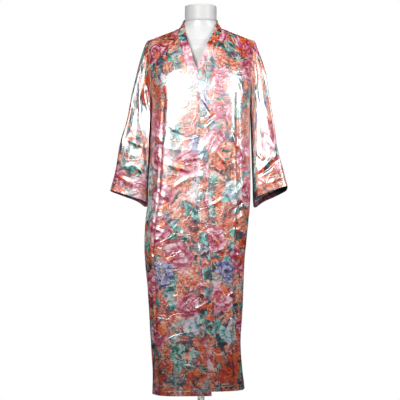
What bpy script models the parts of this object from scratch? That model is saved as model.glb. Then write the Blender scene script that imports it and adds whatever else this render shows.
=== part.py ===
"""A long kimono robe worn by a limbless dress form on a pole stand.

Frame: metres, +Z up, -Y is the front, +X is the wearer's left. The origin is the middle of the base's
underside, on the floor. Every cloth piece is a thin wall between an outer and an inner skin.
"""

import math
from collections import namedtuple

import bpy
import numpy as np

# Cloth, in metres
CLOTH = 0.0012  # wall of a single layer of satin
BAND = 0.0020  # wall of the folded neckband and the cuff bands
BAND_PROUD = 0.0003  # how far a band's face stands above the panel beside it
SEAM = 0.0004  # gap between two pieces at a seam
CUFF_SEAM = 0.0006  # the same where a sleeve bends into its cuff band
OVERLAP_LIFT = 0.0045  # how far the left front lies above the right front where they cross
OVERLAP_X = (0.045, 0.105)  # the lift is whole up to the first x and gone at the second
OVERLAP_Z = (1.37, 1.46)  # the lift falls to OVERLAP_HIGH between these heights
OVERLAP_HIGH = 0.15
CUFF_BAND = 0.023  # width of the band at a sleeve's end
GIRTH_RADIUS = 0.165  # mean radius of the robe's body, which turns a fold's angle into a length

# Shoulder and neck
SHOULDER_X = 0.190  # the shoulder line climbs from here to the neck
NECK_SEAM_X = 0.0755  # half width of the neckline at the shoulder line
NECK_SEAM_BACK = 0.078  # how far behind the shoulder line the neckline passes
NECK_EDGE_X = 0.0612  # half width of the neckband's free edge beside the neck
NECK_EDGE_BACK = 0.0665
NECK_EDGE_Y = 0.003
NECK_EDGE_Z = 1.5285

FRONT = -1
BACK = 1
LEFT = 1  # the wearer's left, at +X
RIGHT = -1

# The robe's body: one row for each level section, from the hem up to the shoulder line, where front and
# back meet. rise is how steeply the section climbs towards the neck, armhole is where the sleeve starts.
Section = namedtuple("Section", "height centre_x half_width front back roundness rise armhole")
SECTIONS = [
    Section(0.180, -0.0090, 0.1660, 0.1320, 0.1260, 2.90, 0.000, 0.1660),
    Section(0.260, -0.0120, 0.1600, 0.1290, 0.1250, 2.90, 0.000, 0.1600),
    Section(0.360, -0.0170, 0.1600, 0.1270, 0.1250, 3.00, 0.000, 0.1600),
    Section(0.460, -0.0170, 0.1660, 0.1270, 0.1260, 3.00, 0.000, 0.1660),
    Section(0.560, -0.0180, 0.1715, 0.1280, 0.1280, 3.00, 0.000, 0.1715),
    Section(0.660, -0.0205, 0.1780, 0.1300, 0.1300, 3.10, 0.000, 0.1780),
    Section(0.740, -0.0180, 0.1830, 0.1330, 0.1310, 3.20, 0.000, 0.1830),
    Section(0.810, -0.0125, 0.1840, 0.1360, 0.1300, 3.20, 0.000, 0.1840),
    Section(0.870, -0.0060, 0.1825, 0.1380, 0.1270, 3.20, 0.000, 0.1825),
    Section(0.940, -0.0040, 0.1810, 0.1400, 0.1220, 3.20, 0.000, 0.1810),
    Section(1.020, -0.0030, 0.1800, 0.1420, 0.1160, 3.20, 0.000, 0.1800),
    Section(1.100, -0.0020, 0.1790, 0.1440, 0.1110, 3.20, 0.000, 0.1790),
    Section(1.165, -0.0010, 0.1785, 0.1460, 0.1090, 3.20, 0.000, 0.1785),
    Section(1.220, 0.0000, 0.1780, 0.1460, 0.1090, 3.20, 0.000, 0.1780),
    Section(1.262, 0.0000, 0.1830, 0.1445, 0.1100, 3.10, 0.030, 0.1785),
    Section(1.300, 0.0000, 0.1880, 0.1405, 0.1110, 2.95, 0.090, 0.1790),
    Section(1.335, 0.0000, 0.1920, 0.1315, 0.1100, 2.75, 0.170, 0.1800),
    Section(1.367, 0.0000, 0.1945, 0.1165, 0.1060, 2.55, 0.250, 0.1815),
    Section(1.395, 0.0000, 0.1955, 0.0970, 0.0980, 2.40, 0.310, 0.1840),
    Section(1.418, 0.0000, 0.1955, 0.0765, 0.0860, 2.25, 0.355, 0.1870),
    Section(1.435, 0.0000, 0.1950, 0.0565, 0.0690, 2.15, 0.380, 0.1900),
    Section(1.446, 0.0000, 0.1945, 0.0360, 0.0470, 2.05, 0.395, 0.1920),
    Section(1.4508, 0.0000, 0.1940, 0.0165, 0.0225, 2.00, 0.400, 0.1935),
    Section(1.4520, 0.0000, 0.1940, 0.0000, 0.0000, 2.00, 0.400, 0.1940),
]
UNDERARM = 13
SHOULDER = len(SECTIONS) - 1
TURNS_OVER = ("front", "back")  # columns that change sign past the shoulder line

# How far each panel's hem is above the lowest section: (angle, lift)
HEM_FADE = 0.30  # height over which the hem's slant dies out
HEM_LIFT = {
    "front_right": ((-90, 0.000), (0, 0.007)),
    "front_left": ((0, 0.024), (90, 0.018)),
    "back": ((-90, 0.000), (0, 0.010), (90, 0.018)),
}

# The front seam, where panel and neckband meet, and the neckband's free edge, from the shoulder line down.
# The edge lies on the robe's body where stands is 0 and at edge_y where it is 1, upright beside the neck.
Closing = namedtuple("Closing", "seam_z seam_x edge_z edge_x edge_y stands")
CLOSING = {
    LEFT: [
        Closing(1.4978, 0.0755, 1.5285, 0.0612, 0.003, 1.0),
        Closing(1.4920, 0.0750, 1.5110, 0.0575, -0.0315, 1.0),
        Closing(1.4790, 0.0735, 1.4925, 0.0510, -0.0520, 1.0),
        Closing(1.4470, 0.0655, 1.4605, 0.0375, -0.0680, 0.6),
        Closing(1.4167, 0.0515, 1.4300, 0.0224, -0.080, 0.0),
        Closing(1.3790, 0.0369, 1.3925, 0.0078, -0.080, 0.0),
        Closing(1.3490, 0.0225, 1.3627, -0.0071, -0.080, 0.0),
        Closing(1.3220, 0.0155, 1.3330, -0.0150, -0.080, 0.0),
        Closing(1.2610, 0.0215, 1.2620, -0.0095, -0.080, 0.0),
        Closing(1.1700, 0.0270, 1.1700, -0.0025, -0.080, 0.0),
        Closing(1.0500, 0.0270, 1.0500, -0.0035, -0.080, 0.0),
        Closing(0.8400, 0.0255, 0.8400, -0.0053, -0.080, 0.0),
        Closing(0.7500, 0.0258, 0.7500, -0.0053, -0.080, 0.0),
        Closing(0.6600, 0.0335, 0.6600, 0.0018, -0.080, 0.0),
        Closing(0.5900, 0.0390, 0.5900, 0.0070, -0.080, 0.0),
        Closing(0.4200, 0.0495, 0.4200, 0.0176, -0.080, 0.0),
        Closing(0.3100, 0.0525, 0.3100, 0.0204, -0.080, 0.0),
        Closing(0.2600, 0.0560, 0.2600, 0.0235, -0.080, 0.0),
        Closing(0.1800, 0.0700, 0.1800, 0.0380, -0.080, 0.0),
    ],
    RIGHT: [
        Closing(1.4978, -0.0755, 1.5270, -0.0612, 0.003, 1.0),
        Closing(1.4920, -0.0775, 1.5110, -0.0605, -0.0200, 1.0),
        Closing(1.4790, -0.0800, 1.4930, -0.0590, -0.0420, 1.0),
        Closing(1.4555, -0.0815, 1.4640, -0.0529, -0.062, 0.6),
        Closing(1.4190, -0.0737, 1.4270, -0.0427, -0.080, 0.0),
        Closing(1.3845, -0.0643, 1.3925, -0.0333, -0.080, 0.0),
        Closing(1.3475, -0.0540, 1.3555, -0.0230, -0.080, 0.0),
        Closing(1.3280, -0.0465, 1.3370, -0.0148, -0.080, 0.0),
        Closing(1.2900, -0.0325, 1.3000, -0.0015, -0.080, 0.0),
        Closing(1.2500, -0.0190, 1.2560, 0.0125, -0.080, 0.0),
        Closing(1.1900, -0.0085, 1.1920, 0.0235, -0.080, 0.0),
        Closing(1.0900, -0.0015, 1.0900, 0.0305, -0.080, 0.0),
        Closing(0.9500, 0.0000, 0.9500, 0.0320, -0.080, 0.0),
        Closing(0.7500, -0.0020, 0.7500, 0.0300, -0.080, 0.0),
        Closing(0.6000, -0.0055, 0.6000, 0.0265, -0.080, 0.0),
        Closing(0.4000, -0.0055, 0.4000, 0.0275, -0.080, 0.0),
        Closing(0.3000, -0.0040, 0.3000, 0.0285, -0.080, 0.0),
        Closing(0.1800, 0.0045, 0.1800, 0.0385, -0.080, 0.0),
    ],
}

# The largest folds of the body. girth is the angle round the body in degrees, 0 at the front, 90 at the
# wearer's left, 180 at the back. A fold is a crest that falls off over width on its own side and over
# drop, past a trough, on the other; side says which way the drop faces.
Fold = namedtuple("Fold", "name top top_girth bottom bottom_girth depth width drop side")
FOLDS = [
    Fold("bust_left", 1.170, 29, 0.330, 41, 0.0115, 0.045, 0.010, 1),
    Fold("bust_right", 1.170, -31, 0.300, -50, 0.0115, 0.045, 0.010, -1),
    Fold("side_left", 1.080, 72, 0.200, 66, 0.0050, 0.022, 0.016, 1),
    Fold("side_right", 1.080, -74, 0.200, -78, 0.0050, 0.022, 0.016, -1),
    Fold("back_left", 1.130, 128, 0.200, 122, 0.0070, 0.030, 0.016, -1),
    Fold("back_right", 1.130, 232, 0.200, 240, 0.0070, 0.030, 0.016, 1),
    Fold("back_middle", 0.950, 172, 0.200, 166, 0.0060, 0.030, 0.018, -1),
]
FOLD_FADE = 0.16  # height over which a fold dies out at each end
FOLD_TROUGH = 0.45  # depth of the trough beside a fold's crest, as a share of the crest

# Sleeves: the cuff's ring has its middle, a half axis towards the outer corner and one towards the front.
# lean is how far the outer edge of the sleeve's flat front stands behind its middle, and deepens is how much
# the sleeve's depth grows over its length, as a share.
Sleeve = namedtuple("Sleeve", "middle outer front lean deepens droop droop_turn")
SLEEVES = {
    LEFT: Sleeve((0.2510, -0.008, 0.8935), (0.0605, -0.012, 0.0238), (0.0, -0.056, 0.014), -0.012, 0.6, 0.014, 0.62),
    RIGHT: Sleeve((-0.2607, -0.008, 0.8865), (-0.0670, 0.008, 0.0218), (0.0, -0.046, 0.005), 0.007, 0.2, 0.014, 0.61),
}
CUFF_ROUNDNESS = 3.6  # 2 is an ellipse, and more is squarer
# How far the sleeve's outer line stands outside a straight one, along its length
Bulge = namedtuple("Bulge", "along left right")
BULGES = [
    Bulge(0.00, 0.0000, 0.0000),
    Bulge(0.03, 0.0035, 0.0045),
    Bulge(0.08, 0.0085, 0.0070),
    Bulge(0.14, 0.0150, 0.0090),
    Bulge(0.22, 0.0185, 0.0095),
    Bulge(0.36, 0.0125, 0.0090),
    Bulge(0.50, 0.0055, 0.0030),
    Bulge(0.70, -0.0030, -0.0015),
    Bulge(1.00, 0.0000, 0.0000),
]
DROOP_WIDTH = 0.09  # in turns of the ring
SLEEVE_DEPTH = 0.058  # from the sleeve's middle to its flat front or back, between armhole and cuff
SLEEVE_CORNER = 0.075  # in turns of the ring, from its outer or inner line to where the front is flat
SLEEVE_FOLD = 0.004  # depth of the soft fold that runs down each sleeve's front and back
SLEEVE_FOLD_TURNS = (0.17, 0.84)
SLEEVE_FOLD_WIDTH = 0.055  # in turns of the ring

# The dress form, one row for each level section
FormSection = namedtuple("FormSection", "height half_width front back centre_y roundness")
FORM = [
    FormSection(0.7800, 0.1480, 0.084, 0.094, 0.000, 2.2),
    FormSection(0.7860, 0.1560, 0.091, 0.101, 0.000, 2.2),
    FormSection(0.8150, 0.1620, 0.096, 0.108, 0.000, 2.2),
    FormSection(0.8700, 0.1640, 0.098, 0.111, 0.000, 2.2),
    FormSection(0.9400, 0.1570, 0.095, 0.106, 0.000, 2.2),
    FormSection(1.0100, 0.1390, 0.091, 0.094, 0.000, 2.2),
    FormSection(1.0700, 0.1260, 0.089, 0.086, 0.000, 2.2),
    FormSection(1.1300, 0.1290, 0.100, 0.086, 0.000, 2.2),
    FormSection(1.1900, 0.1400, 0.118, 0.089, 0.000, 2.2),
    FormSection(1.2400, 0.1480, 0.128, 0.092, 0.000, 2.2),
    FormSection(1.2850, 0.1520, 0.121, 0.094, 0.000, 2.2),
    FormSection(1.3250, 0.1590, 0.110, 0.096, 0.000, 2.1),
    FormSection(1.3620, 0.1700, 0.100, 0.093, 0.000, 2.0),
    FormSection(1.3930, 0.1800, 0.094, 0.088, 0.000, 1.85),
    FormSection(1.4180, 0.1855, 0.087, 0.082, 0.000, 1.70),
    FormSection(1.4380, 0.1855, 0.0750, 0.0700, 0.000, 1.50),
    FormSection(1.4460, 0.1875, 0.0700, 0.0650, 0.000, 1.42),
    FormSection(1.4500, 0.1895, 0.0675, 0.0630, 0.000, 1.38),
    FormSection(1.4600, 0.1655, 0.0640, 0.0605, 0.000, 1.40),
    FormSection(1.4700, 0.1407, 0.0615, 0.0600, 0.001, 1.46),
    FormSection(1.4800, 0.1152, 0.0590, 0.0590, 0.001, 1.50),
    FormSection(1.4880, 0.0950, 0.0585, 0.0590, 0.002, 1.60),
    FormSection(1.4942, 0.0788, 0.0582, 0.0585, 0.003, 1.75),
    FormSection(1.4990, 0.0690, 0.0580, 0.0585, 0.004, 1.95),
    FormSection(1.5070, 0.0645, 0.0580, 0.0585, 0.004, 2.0),
    FormSection(1.5180, 0.0600, 0.0580, 0.0580, 0.004, 2.0),
]
NECK_RADIUS = 0.0583
NECK_Y = 0.004
NECK_JOINT = 0.0003
NECK_TOP = 1.5770
NECK_ROUND = 0.0040
NECK_CHAMFER = 0.0008

# The stand
POLE_RADIUS = 0.0125
POLE_CLEARANCE = 0.0003
POLE_IN_FORM = 0.035
POLE_IN_BASE = 0.030
BASE_RADIUS = 0.170
BASE_HEIGHT = 0.010
BASE_ROUND = 0.003
BOSS_RADIUS = 0.024
BOSS_HEIGHT = 0.040

# How finely the solids are cut
FORM_SIDES = 48
TURNED_SIDES = 48
POLE_SIDES = 24
PANEL_COLUMNS = 14
BAND_COLUMNS = 2
SLEEVE_STEPS = (0.0, 0.035, 0.09, 0.16, 0.25, 0.36, 0.49, 0.62, 0.75, 0.88, 1.0)
NECK_ROWS = (18.7, 19.6, 20.45)  # rows added where the back neckline curves


def smooth_step(low, high, value):
    """0 below low, 1 above high, and a soft turn between."""
    share = np.clip((np.asarray(value, float) - low) / (high - low), 0, 1)
    return share * share * (3 - 2 * share)


def padded_column(name):
    """A column of SECTIONS with one more value at each end, so that a curve runs through all of it."""
    values = [getattr(section, name) for section in SECTIONS]
    past_shoulder = -values[-2] if name in TURNS_OVER else values[-2]
    return np.array([2 * values[0] - values[1]] + values + [past_shoulder])


COLUMNS = {name: padded_column(name) for name in Section._fields}


def section_at(row):
    """The section at a fractional row, each column on a smooth curve through the table."""
    row = np.clip(np.asarray(row, float), 0, SHOULDER)
    index = np.minimum(np.floor(row).astype(int), SHOULDER - 1)
    part = row - index
    made = {}
    for name, values in COLUMNS.items():
        a, b, c, d = (values[index + step] for step in range(4))
        made[name] = b + 0.5 * part * (
            c - a + part * (2 * a - 5 * b + 4 * c - d + part * (3 * (b - c) + d - a))
        )
    return Section(**made)


def girth_of(face, angle):
    """The angle round the body, which runs on from the front to the back."""
    return angle if face == FRONT else 180 - angle


def fold_height(girth, height):
    """How far the folds lift the cloth, at an angle round the body and a height."""
    total = np.zeros(np.broadcast(girth, height).shape)
    for fold in FOLDS:
        share = np.clip((height - fold.bottom) / (fold.top - fold.bottom), 0, 1)
        at = fold.bottom_girth + (fold.top_girth - fold.bottom_girth) * share
        turn = (girth - at + 180) % 360 - 180
        across = np.radians(turn) * GIRTH_RADIUS * fold.side
        crest = np.exp(-((across / np.where(across < 0, fold.width, fold.drop)) ** 2))
        trough = np.exp(-(((across - 2 * fold.drop) / fold.drop) ** 2))
        shown = smooth_step(fold.bottom - FOLD_FADE, fold.bottom + FOLD_FADE, height)
        shown = shown * (1 - smooth_step(fold.top - FOLD_FADE, fold.top + FOLD_FADE, height))
        total = total + fold.depth * (crest - FOLD_TROUGH * trough) * shown
    return total


def body_point(row, angle, face, panel):
    """Points of the robe's outer skin. angle is 0 in the middle of the face and 90 at the wearer's left."""
    row, angle = np.broadcast_arrays(np.asarray(row, float), np.asarray(angle, float))
    section = section_at(row)
    turn = np.radians(np.clip(angle, -90, 90))
    power = 2 / section.roundness
    across = np.sign(turn) * np.abs(np.sin(turn)) ** power
    deep = np.maximum(np.cos(turn), 0) ** power
    depth = section.front if face == FRONT else section.back
    x = section.centre_x + section.half_width * across
    y = face * (SEAM / 2 + depth * deep)
    z = section.height + section.rise * (SHOULDER_X - np.abs(x - section.centre_x))

    angles, lifts = zip(*HEM_LIFT[panel])
    z = z + np.interp(angle, angles, lifts) * (1 - smooth_step(0, HEM_FADE, z - SECTIONS[0].height))

    normal_x = np.sign(across) * np.abs(across) ** (section.roundness - 1) / section.half_width
    normal_y = face * deep ** (section.roundness - 1) / np.maximum(depth, 0.01)
    length = np.maximum(np.hypot(normal_x, normal_y), 1e-9)
    lift = fold_height(girth_of(face, angle), z)
    if panel == "front_left":
        near = 1 - smooth_step(*OVERLAP_X, x)
        low = 1 - (1 - OVERLAP_HIGH) * smooth_step(*OVERLAP_Z, z)
        lift = lift + OVERLAP_LIFT * near * low
    return np.stack([x + lift * normal_x / length, y + lift * normal_y / length, z], axis=-1)


def body_normal(row, angle, face, panel):
    """Outward normals of the robe's outer skin."""
    step_row, step_angle = 0.05, 1.0
    row, angle = np.broadcast_arrays(np.asarray(row, float), np.asarray(angle, float))
    along = body_point(np.minimum(row + step_row, SHOULDER), angle, face, panel)
    along = along - body_point(np.maximum(row - step_row, 0), angle, face, panel)
    across = body_point(row, np.minimum(angle + step_angle, 90), face, panel)
    across = across - body_point(row, np.maximum(angle - step_angle, -90), face, panel)
    normal = np.cross(across, along) * -face
    normal = normal / np.maximum(np.linalg.norm(normal, axis=-1, keepdims=True), 1e-12)
    on_seam = (np.abs(angle) > 89.9) | (row > SHOULDER - 1e-6)
    normal[..., 1] = np.where(on_seam, 0, normal[..., 1])
    return normal / np.maximum(np.linalg.norm(normal, axis=-1, keepdims=True), 1e-12)


def angle_at(row, x):
    """The angle whose point of the section has this x."""
    section = section_at(row)
    share = np.clip((x - section.centre_x) / section.half_width, -1, 1)
    return np.degrees(np.arcsin(np.sign(share) * np.abs(share) ** (section.roundness / 2)))


def armhole_angle(row):
    """The angle at which a panel ends: the side seam below the underarm, the armhole above it."""
    section = section_at(row)
    share = np.clip(section.armhole / section.half_width, 0, 1)
    angle = np.degrees(np.arcsin(share ** (section.roundness / 2)))
    return np.where(np.asarray(row) <= UNDERARM, 90.0, angle)


def closing_at(side, seam_z):
    """The seam and the free edge of a front, at heights of the seam."""
    columns = Closing(*zip(*CLOSING[side][::-1]))
    return Closing(*(np.interp(seam_z, columns.seam_z, column) for column in columns))


def front_seam_angle(side, row):
    """The angle at which a front panel meets its neckband, found by a few passes, as the section climbs."""
    row = np.asarray(row, float)
    panel = "front_left" if side == LEFT else "front_right"
    x = np.full(row.shape, side * NECK_SEAM_X)
    for _ in range(12):
        height = body_point(row, angle_at(row, x), FRONT, panel)[..., 2]
        x = closing_at(side, height).seam_x
    return angle_at(row, x)


def body_at(side, x, height):
    """Points of a front panel's surface at given x and height."""
    panel = "front_left" if side == LEFT else "front_right"
    heights = np.array([section.height for section in SECTIONS])
    row = np.interp(height, heights, np.arange(len(SECTIONS)))
    for _ in range(12):
        point = body_point(row, angle_at(row, x), FRONT, panel)
        missing = height - point[..., 2]
        rise = np.maximum(np.interp(row, np.arange(SHOULDER), np.diff(heights)), 0.004)
        row = np.clip(row + missing / rise, 0, SHOULDER)
    return body_point(row, angle_at(row, x), FRONT, panel)


def back_neck_x(row):
    """Half the width of the neckline on the back, 0 below it."""
    depth = section_at(row).back
    return NECK_SEAM_X * np.sqrt(np.clip(1 - (depth / NECK_SEAM_BACK) ** 2, 0, 1))


def back_neck_row():
    """The row at which the back neckline passes the middle of the back."""
    low, high = float(UNDERARM), float(SHOULDER)
    for _ in range(40):
        middle = (low + high) / 2
        low, high = (middle, high) if section_at(middle).back > NECK_SEAM_BACK else (low, middle)
    return high


BACK_NECK_ROW = back_neck_row()


def rows_of_body():
    """The rows at which the panels are cut."""
    added = [BACK_NECK_ROW, *NECK_ROWS]
    near = [row for row in range(SHOULDER + 1) if min(abs(row - extra) for extra in added) > 0.12]
    return np.array(sorted([*near, *added]))


ROWS = rows_of_body()


def grid_quads(rows, columns, wraps=False):
    """The corners of each cell of a grid, as indices of its points taken row by row."""
    quads = []
    for low in range(0, (rows - 1) * columns, columns):
        high = low + columns
        for column in range(columns if wraps else columns - 1):
            beside = (column + 1) % columns
            quads.append((low + column, low + beside, high + beside, high + column))
    return quads


def welded(points, normals, quads):
    """Points at the same place made one."""
    _, first, index = np.unique(np.round(points, 7), axis=0, return_index=True, return_inverse=True)
    index = index.reshape(-1)
    return points[first], normals[first], [tuple(int(index[corner]) for corner in quad) for quad in quads]


def wall_triangles(points, normals, quads):
    """Each cell as two triangles that face outwards, cut along its shorter diagonal."""
    triangles = []
    for a, b, c, d in quads:
        if np.linalg.norm(points[a] - points[c]) <= np.linalg.norm(points[b] - points[d]):
            pair = [(a, b, c), (a, c, d)]
        else:
            pair = [(a, b, d), (b, c, d)]
        triangles += [corners for corners in pair if len(set(corners)) == 3]
    outward = 0.0
    for a, b, c in triangles:
        outward += np.dot(np.cross(points[b] - points[a], points[c] - points[a]), normals[a])
    return triangles if outward > 0 else [(a, c, b) for a, b, c in triangles]


def cloth_wall(name, points, normals, quads, thickness, proud, material):
    """A closed wall: an outer skin, an inner one a thickness behind it, and a rim round each open edge."""
    points, normals, quads = welded(points.reshape(-1, 3), normals.reshape(-1, 3), quads)
    triangles = wall_triangles(points, normals, quads)
    count = len(points)
    skin = np.concatenate([points + normals * proud, points + normals * (proud - thickness)])
    faces = list(triangles)
    faces += [(c + count, b + count, a + count) for a, b, c in triangles]
    directed = {(t[i], t[(i + 1) % 3]) for t in triangles for i in range(3)}
    for a, b in sorted(directed):
        if (b, a) not in directed:
            faces += [(b, a, a + count), (b, a + count, b + count)]
    return solid(name, skin, faces, material)


def solid(name, points, faces, material):
    """A named object from points and faces."""
    mesh = bpy.data.meshes.new(name)
    mesh.from_pydata([tuple(map(float, point)) for point in points], [], faces)
    mesh.materials.append(material)
    made = bpy.data.objects.new(name, mesh)
    bpy.context.scene.collection.objects.link(made)
    mesh.shade_smooth()
    mesh.set_sharp_from_angle(angle=math.radians(40))
    return made


def make_material(name, colour, roughness, metallic):
    material = bpy.data.materials.new(name)
    material.use_nodes = True
    shader = material.node_tree.nodes["Principled BSDF"]
    shader.inputs["Base Color"].default_value = (*colour, 1)
    shader.inputs["Roughness"].default_value = roughness
    shader.inputs["Metallic"].default_value = metallic
    material.diffuse_color = (*colour, 1)
    return material


def column_angles(outer, inner, fold_girth, drop):
    """The angles of a panel's columns along one row: closer together where it crosses its largest fold."""
    drop_angle = math.degrees(drop / GIRTH_RADIUS)
    places = (0.0, 0.36, 0.50, 0.60, 1.0)
    fold_girth = min(max(fold_girth, inner + 12), outer - 3 * drop_angle)
    before = fold_girth - 0.3 * (fold_girth - inner)
    angles = (outer, fold_girth + 2 * drop_angle, fold_girth, before, inner)
    return np.interp(np.linspace(0, 1, PANEL_COLUMNS + 1), places, angles)


def front(side, material):
    """A front panel, from the side seam and armhole to the neckband's seam."""
    panel = "front_left" if side == LEFT else "front_right"
    fold = next(f for f in FOLDS if f.name == ("bust_left" if side == LEFT else "bust_right"))
    outer = armhole_angle(ROWS)
    inner = side * front_seam_angle(side, ROWS)
    heights = section_at(ROWS).height
    shares = np.clip((heights - fold.bottom) / (fold.top - fold.bottom), 0, 1)
    girths = side * (fold.bottom_girth + (fold.top_girth - fold.bottom_girth) * shares)
    angles = side * np.array([column_angles(*ends, fold.drop) for ends in zip(outer, inner, girths)])
    rows = np.repeat(ROWS[:, None], angles.shape[1], axis=1)
    points = body_point(rows, angles, FRONT, panel)
    normals = body_normal(rows, angles, FRONT, panel)
    return cloth_wall(panel, points, normals, grid_quads(*angles.shape), CLOTH, 0, material)


def back(material):
    """The back in one piece: two halves that share the middle column below the neckline."""
    points, normals, quads = [], [], []
    for side in (LEFT, RIGHT):
        outer = armhole_angle(ROWS)
        inner = angle_at(ROWS, section_at(ROWS).centre_x + back_neck_x(ROWS))
        share = np.linspace(0, 1, PANEL_COLUMNS + 1)
        angles = side * (outer[:, None] + (inner - outer)[:, None] * share)
        rows = np.repeat(ROWS[:, None], angles.shape[1], axis=1)
        start = sum(len(part) for part in points)
        points.append(body_point(rows, angles, BACK, "back").reshape(-1, 3))
        normals.append(body_normal(rows, angles, BACK, "back").reshape(-1, 3))
        cells = grid_quads(*angles.shape)
        if side == RIGHT:
            cells = [quad[::-1] for quad in cells]
        quads += [tuple(corner + start for corner in quad) for quad in cells]
    return cloth_wall("back", np.concatenate(points), np.concatenate(normals), quads, CLOTH, 0, material)


def armhole_ring(side):
    """The loop where a sleeve starts: from the shoulder line down the front, and up the back."""
    rows = ROWS[ROWS >= UNDERARM][::-1]
    angles = side * armhole_angle(rows)
    panel = "front_left" if side == LEFT else "front_right"
    front_edge = body_point(rows, angles, FRONT, panel)
    back_edge = body_point(rows, angles, BACK, "back")
    ring = np.concatenate([front_edge[:-1], back_edge[:0:-1]])
    ring[0] = (front_edge[0] + back_edge[0]) / 2
    ring[len(rows) - 1] = (front_edge[-1] + back_edge[-1]) / 2
    return ring + np.array([side * SEAM, 0, 0])


def ring_turns(ring):
    """Where each point of a closed ring lies along it, from 0 to 1."""
    steps = np.linalg.norm(np.roll(ring, -1, axis=0) - ring, axis=1)
    return np.concatenate([[0], np.cumsum(steps)[:-1]]) / steps.sum()


def cuff_ring(side, turns):
    """The ring at a sleeve's end."""
    sleeve = SLEEVES[side]
    turn = 2 * np.pi * turns[:, None]
    out, forward = (np.sign(way) * np.abs(way) ** (2 / CUFF_ROUNDNESS) for way in (np.cos(turn), np.sin(turn)))
    ring = out * np.array(sleeve.outer) + forward * np.array(sleeve.front) + np.array(sleeve.middle)
    droop = sleeve.droop * np.exp(-(((turns - sleeve.droop_turn) / DROOP_WIDTH) ** 2))
    ring[:, 2] -= droop
    return ring


def sleeve_points(side, alongs):
    """Points of a sleeve's outer skin: a row of the grid for each place along, given for each column."""
    start = armhole_ring(side)
    turns = ring_turns(start)
    end = cuff_ring(side, turns)
    alongs = np.asarray(alongs)[..., None]
    points = start + (end - start) * alongs
    outward = np.array(SLEEVES[side].outer)
    outward = outward / np.linalg.norm(outward)
    bulges = np.array([bulge.left if side == LEFT else bulge.right for bulge in BULGES])
    bulge = np.interp(alongs, [entry.along for entry in BULGES], bulges)
    points = points + bulge * outward * ((1 + np.cos(2 * np.pi * turns)) / 2)[:, None]
    from_line = np.minimum(turns % 0.5, 0.5 - turns % 0.5) / SLEEVE_CORNER
    squared = np.sin(np.minimum(from_line, 1) * np.pi / 2) ** 0.6
    face = np.where(turns < 0.5, FRONT, BACK)[:, None]
    depth = SLEEVE_DEPTH * (1 + SLEEVES[side].deepens * (alongs - 0.4))
    flat = (face * depth + SLEEVES[side].lean * np.cos(2 * np.pi * turns)[:, None]) * squared[:, None]
    flattened = smooth_step(0.0, 0.16, alongs) * (1 - smooth_step(0.60, 1.0, alongs))
    points = points + (flat - points[..., 1:2]) * flattened * np.array([0.0, 1.0, 0.0])
    middle = points.mean(axis=1, keepdims=True)
    radial = points - middle
    radial = radial / np.linalg.norm(radial, axis=-1, keepdims=True)
    shown = smooth_step(0.05, 0.3, alongs)
    for at in SLEEVE_FOLD_TURNS:
        apart = ((turns - at + 0.5) % 1 - 0.5)[:, None]
        points = points - radial * SLEEVE_FOLD * shown * np.exp(-((apart / SLEEVE_FOLD_WIDTH) ** 2))
    return points


def band_start(side):
    """For each column of a sleeve, the share of its length at which the cuff band starts."""
    start = armhole_ring(side)
    length = np.linalg.norm(cuff_ring(side, ring_turns(start)) - start, axis=1)
    return 1 - CUFF_BAND / length, CUFF_SEAM / length


def tube_normals(points):
    """Outward normals of a tube given as rings."""
    along = np.gradient(points, axis=0)
    around = np.roll(points, -1, axis=1) - np.roll(points, 1, axis=1)
    normal = np.cross(around, along)
    normal = normal / np.linalg.norm(normal, axis=-1, keepdims=True)
    outward = points - points.mean(axis=1, keepdims=True)
    return normal if (normal * outward).sum() > 0 else -normal


def sleeve(side, material):
    """A sleeve from the armhole to its cuff band."""
    ends, _ = band_start(side)
    points = sleeve_points(side, [ends * step for step in SLEEVE_STEPS])
    normals = tube_normals(points)
    normals[0, :, 0] = 0  # the first rim stays clear of the armhole's
    normals[0] /= np.maximum(np.linalg.norm(normals[0], axis=-1, keepdims=True), 1e-9)
    name = "sleeve_left" if side == LEFT else "sleeve_right"
    rows, columns = points.shape[:2]
    quads = grid_quads(rows, columns, wraps=True)
    return cloth_wall(name, points, normals, quads, CLOTH, 0, material)


def cuff_band(side, material):
    """The band sewn to a sleeve's end."""
    ends, gap = band_start(side)
    points = sleeve_points(side, [ends + gap, (ends + gap + 1) / 2, np.ones_like(ends)])
    normals = tube_normals(points)
    name = "cuff_band_left" if side == LEFT else "cuff_band_right"
    rows, columns = points.shape[:2]
    quads = grid_quads(rows, columns, wraps=True)
    return cloth_wall(name, points, normals, quads, BAND, BAND_PROUD, material)


def neckband_lines(side):
    """The seam and the free edge of half the neckband, from the hem up to the middle of the back."""
    panel = "front_left" if side == LEFT else "front_right"
    seam = body_point(ROWS, front_seam_angle(side, ROWS), FRONT, panel)
    closing = closing_at(side, seam[:, 2])
    on_body = body_at(side, closing.edge_x, closing.edge_z + seam[:, 2] - closing.seam_z)
    upright = np.stack([closing.edge_x, closing.edge_y, closing.edge_z], 1)
    edge = on_body + (upright - on_body) * closing.stands[:, None]
    rows = ROWS[(ROWS >= BACK_NECK_ROW) & (ROWS < SHOULDER)][::-1]
    neck_x = np.maximum(back_neck_x(rows), SEAM / 2)
    behind = body_point(rows, angle_at(rows, side * neck_x), BACK, "back")
    turn = np.arccos(np.clip(neck_x / NECK_SEAM_X, 0, 1))
    edge_x = np.maximum(NECK_EDGE_X * np.cos(turn), SEAM / 2)
    edge_y = NECK_EDGE_Y + NECK_EDGE_BACK * np.sin(turn)
    behind_edge = np.stack([side * edge_x, edge_y, np.full_like(edge_x, NECK_EDGE_Z)], 1)
    return np.concatenate([seam, behind]), np.concatenate([edge, behind_edge])


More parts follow.
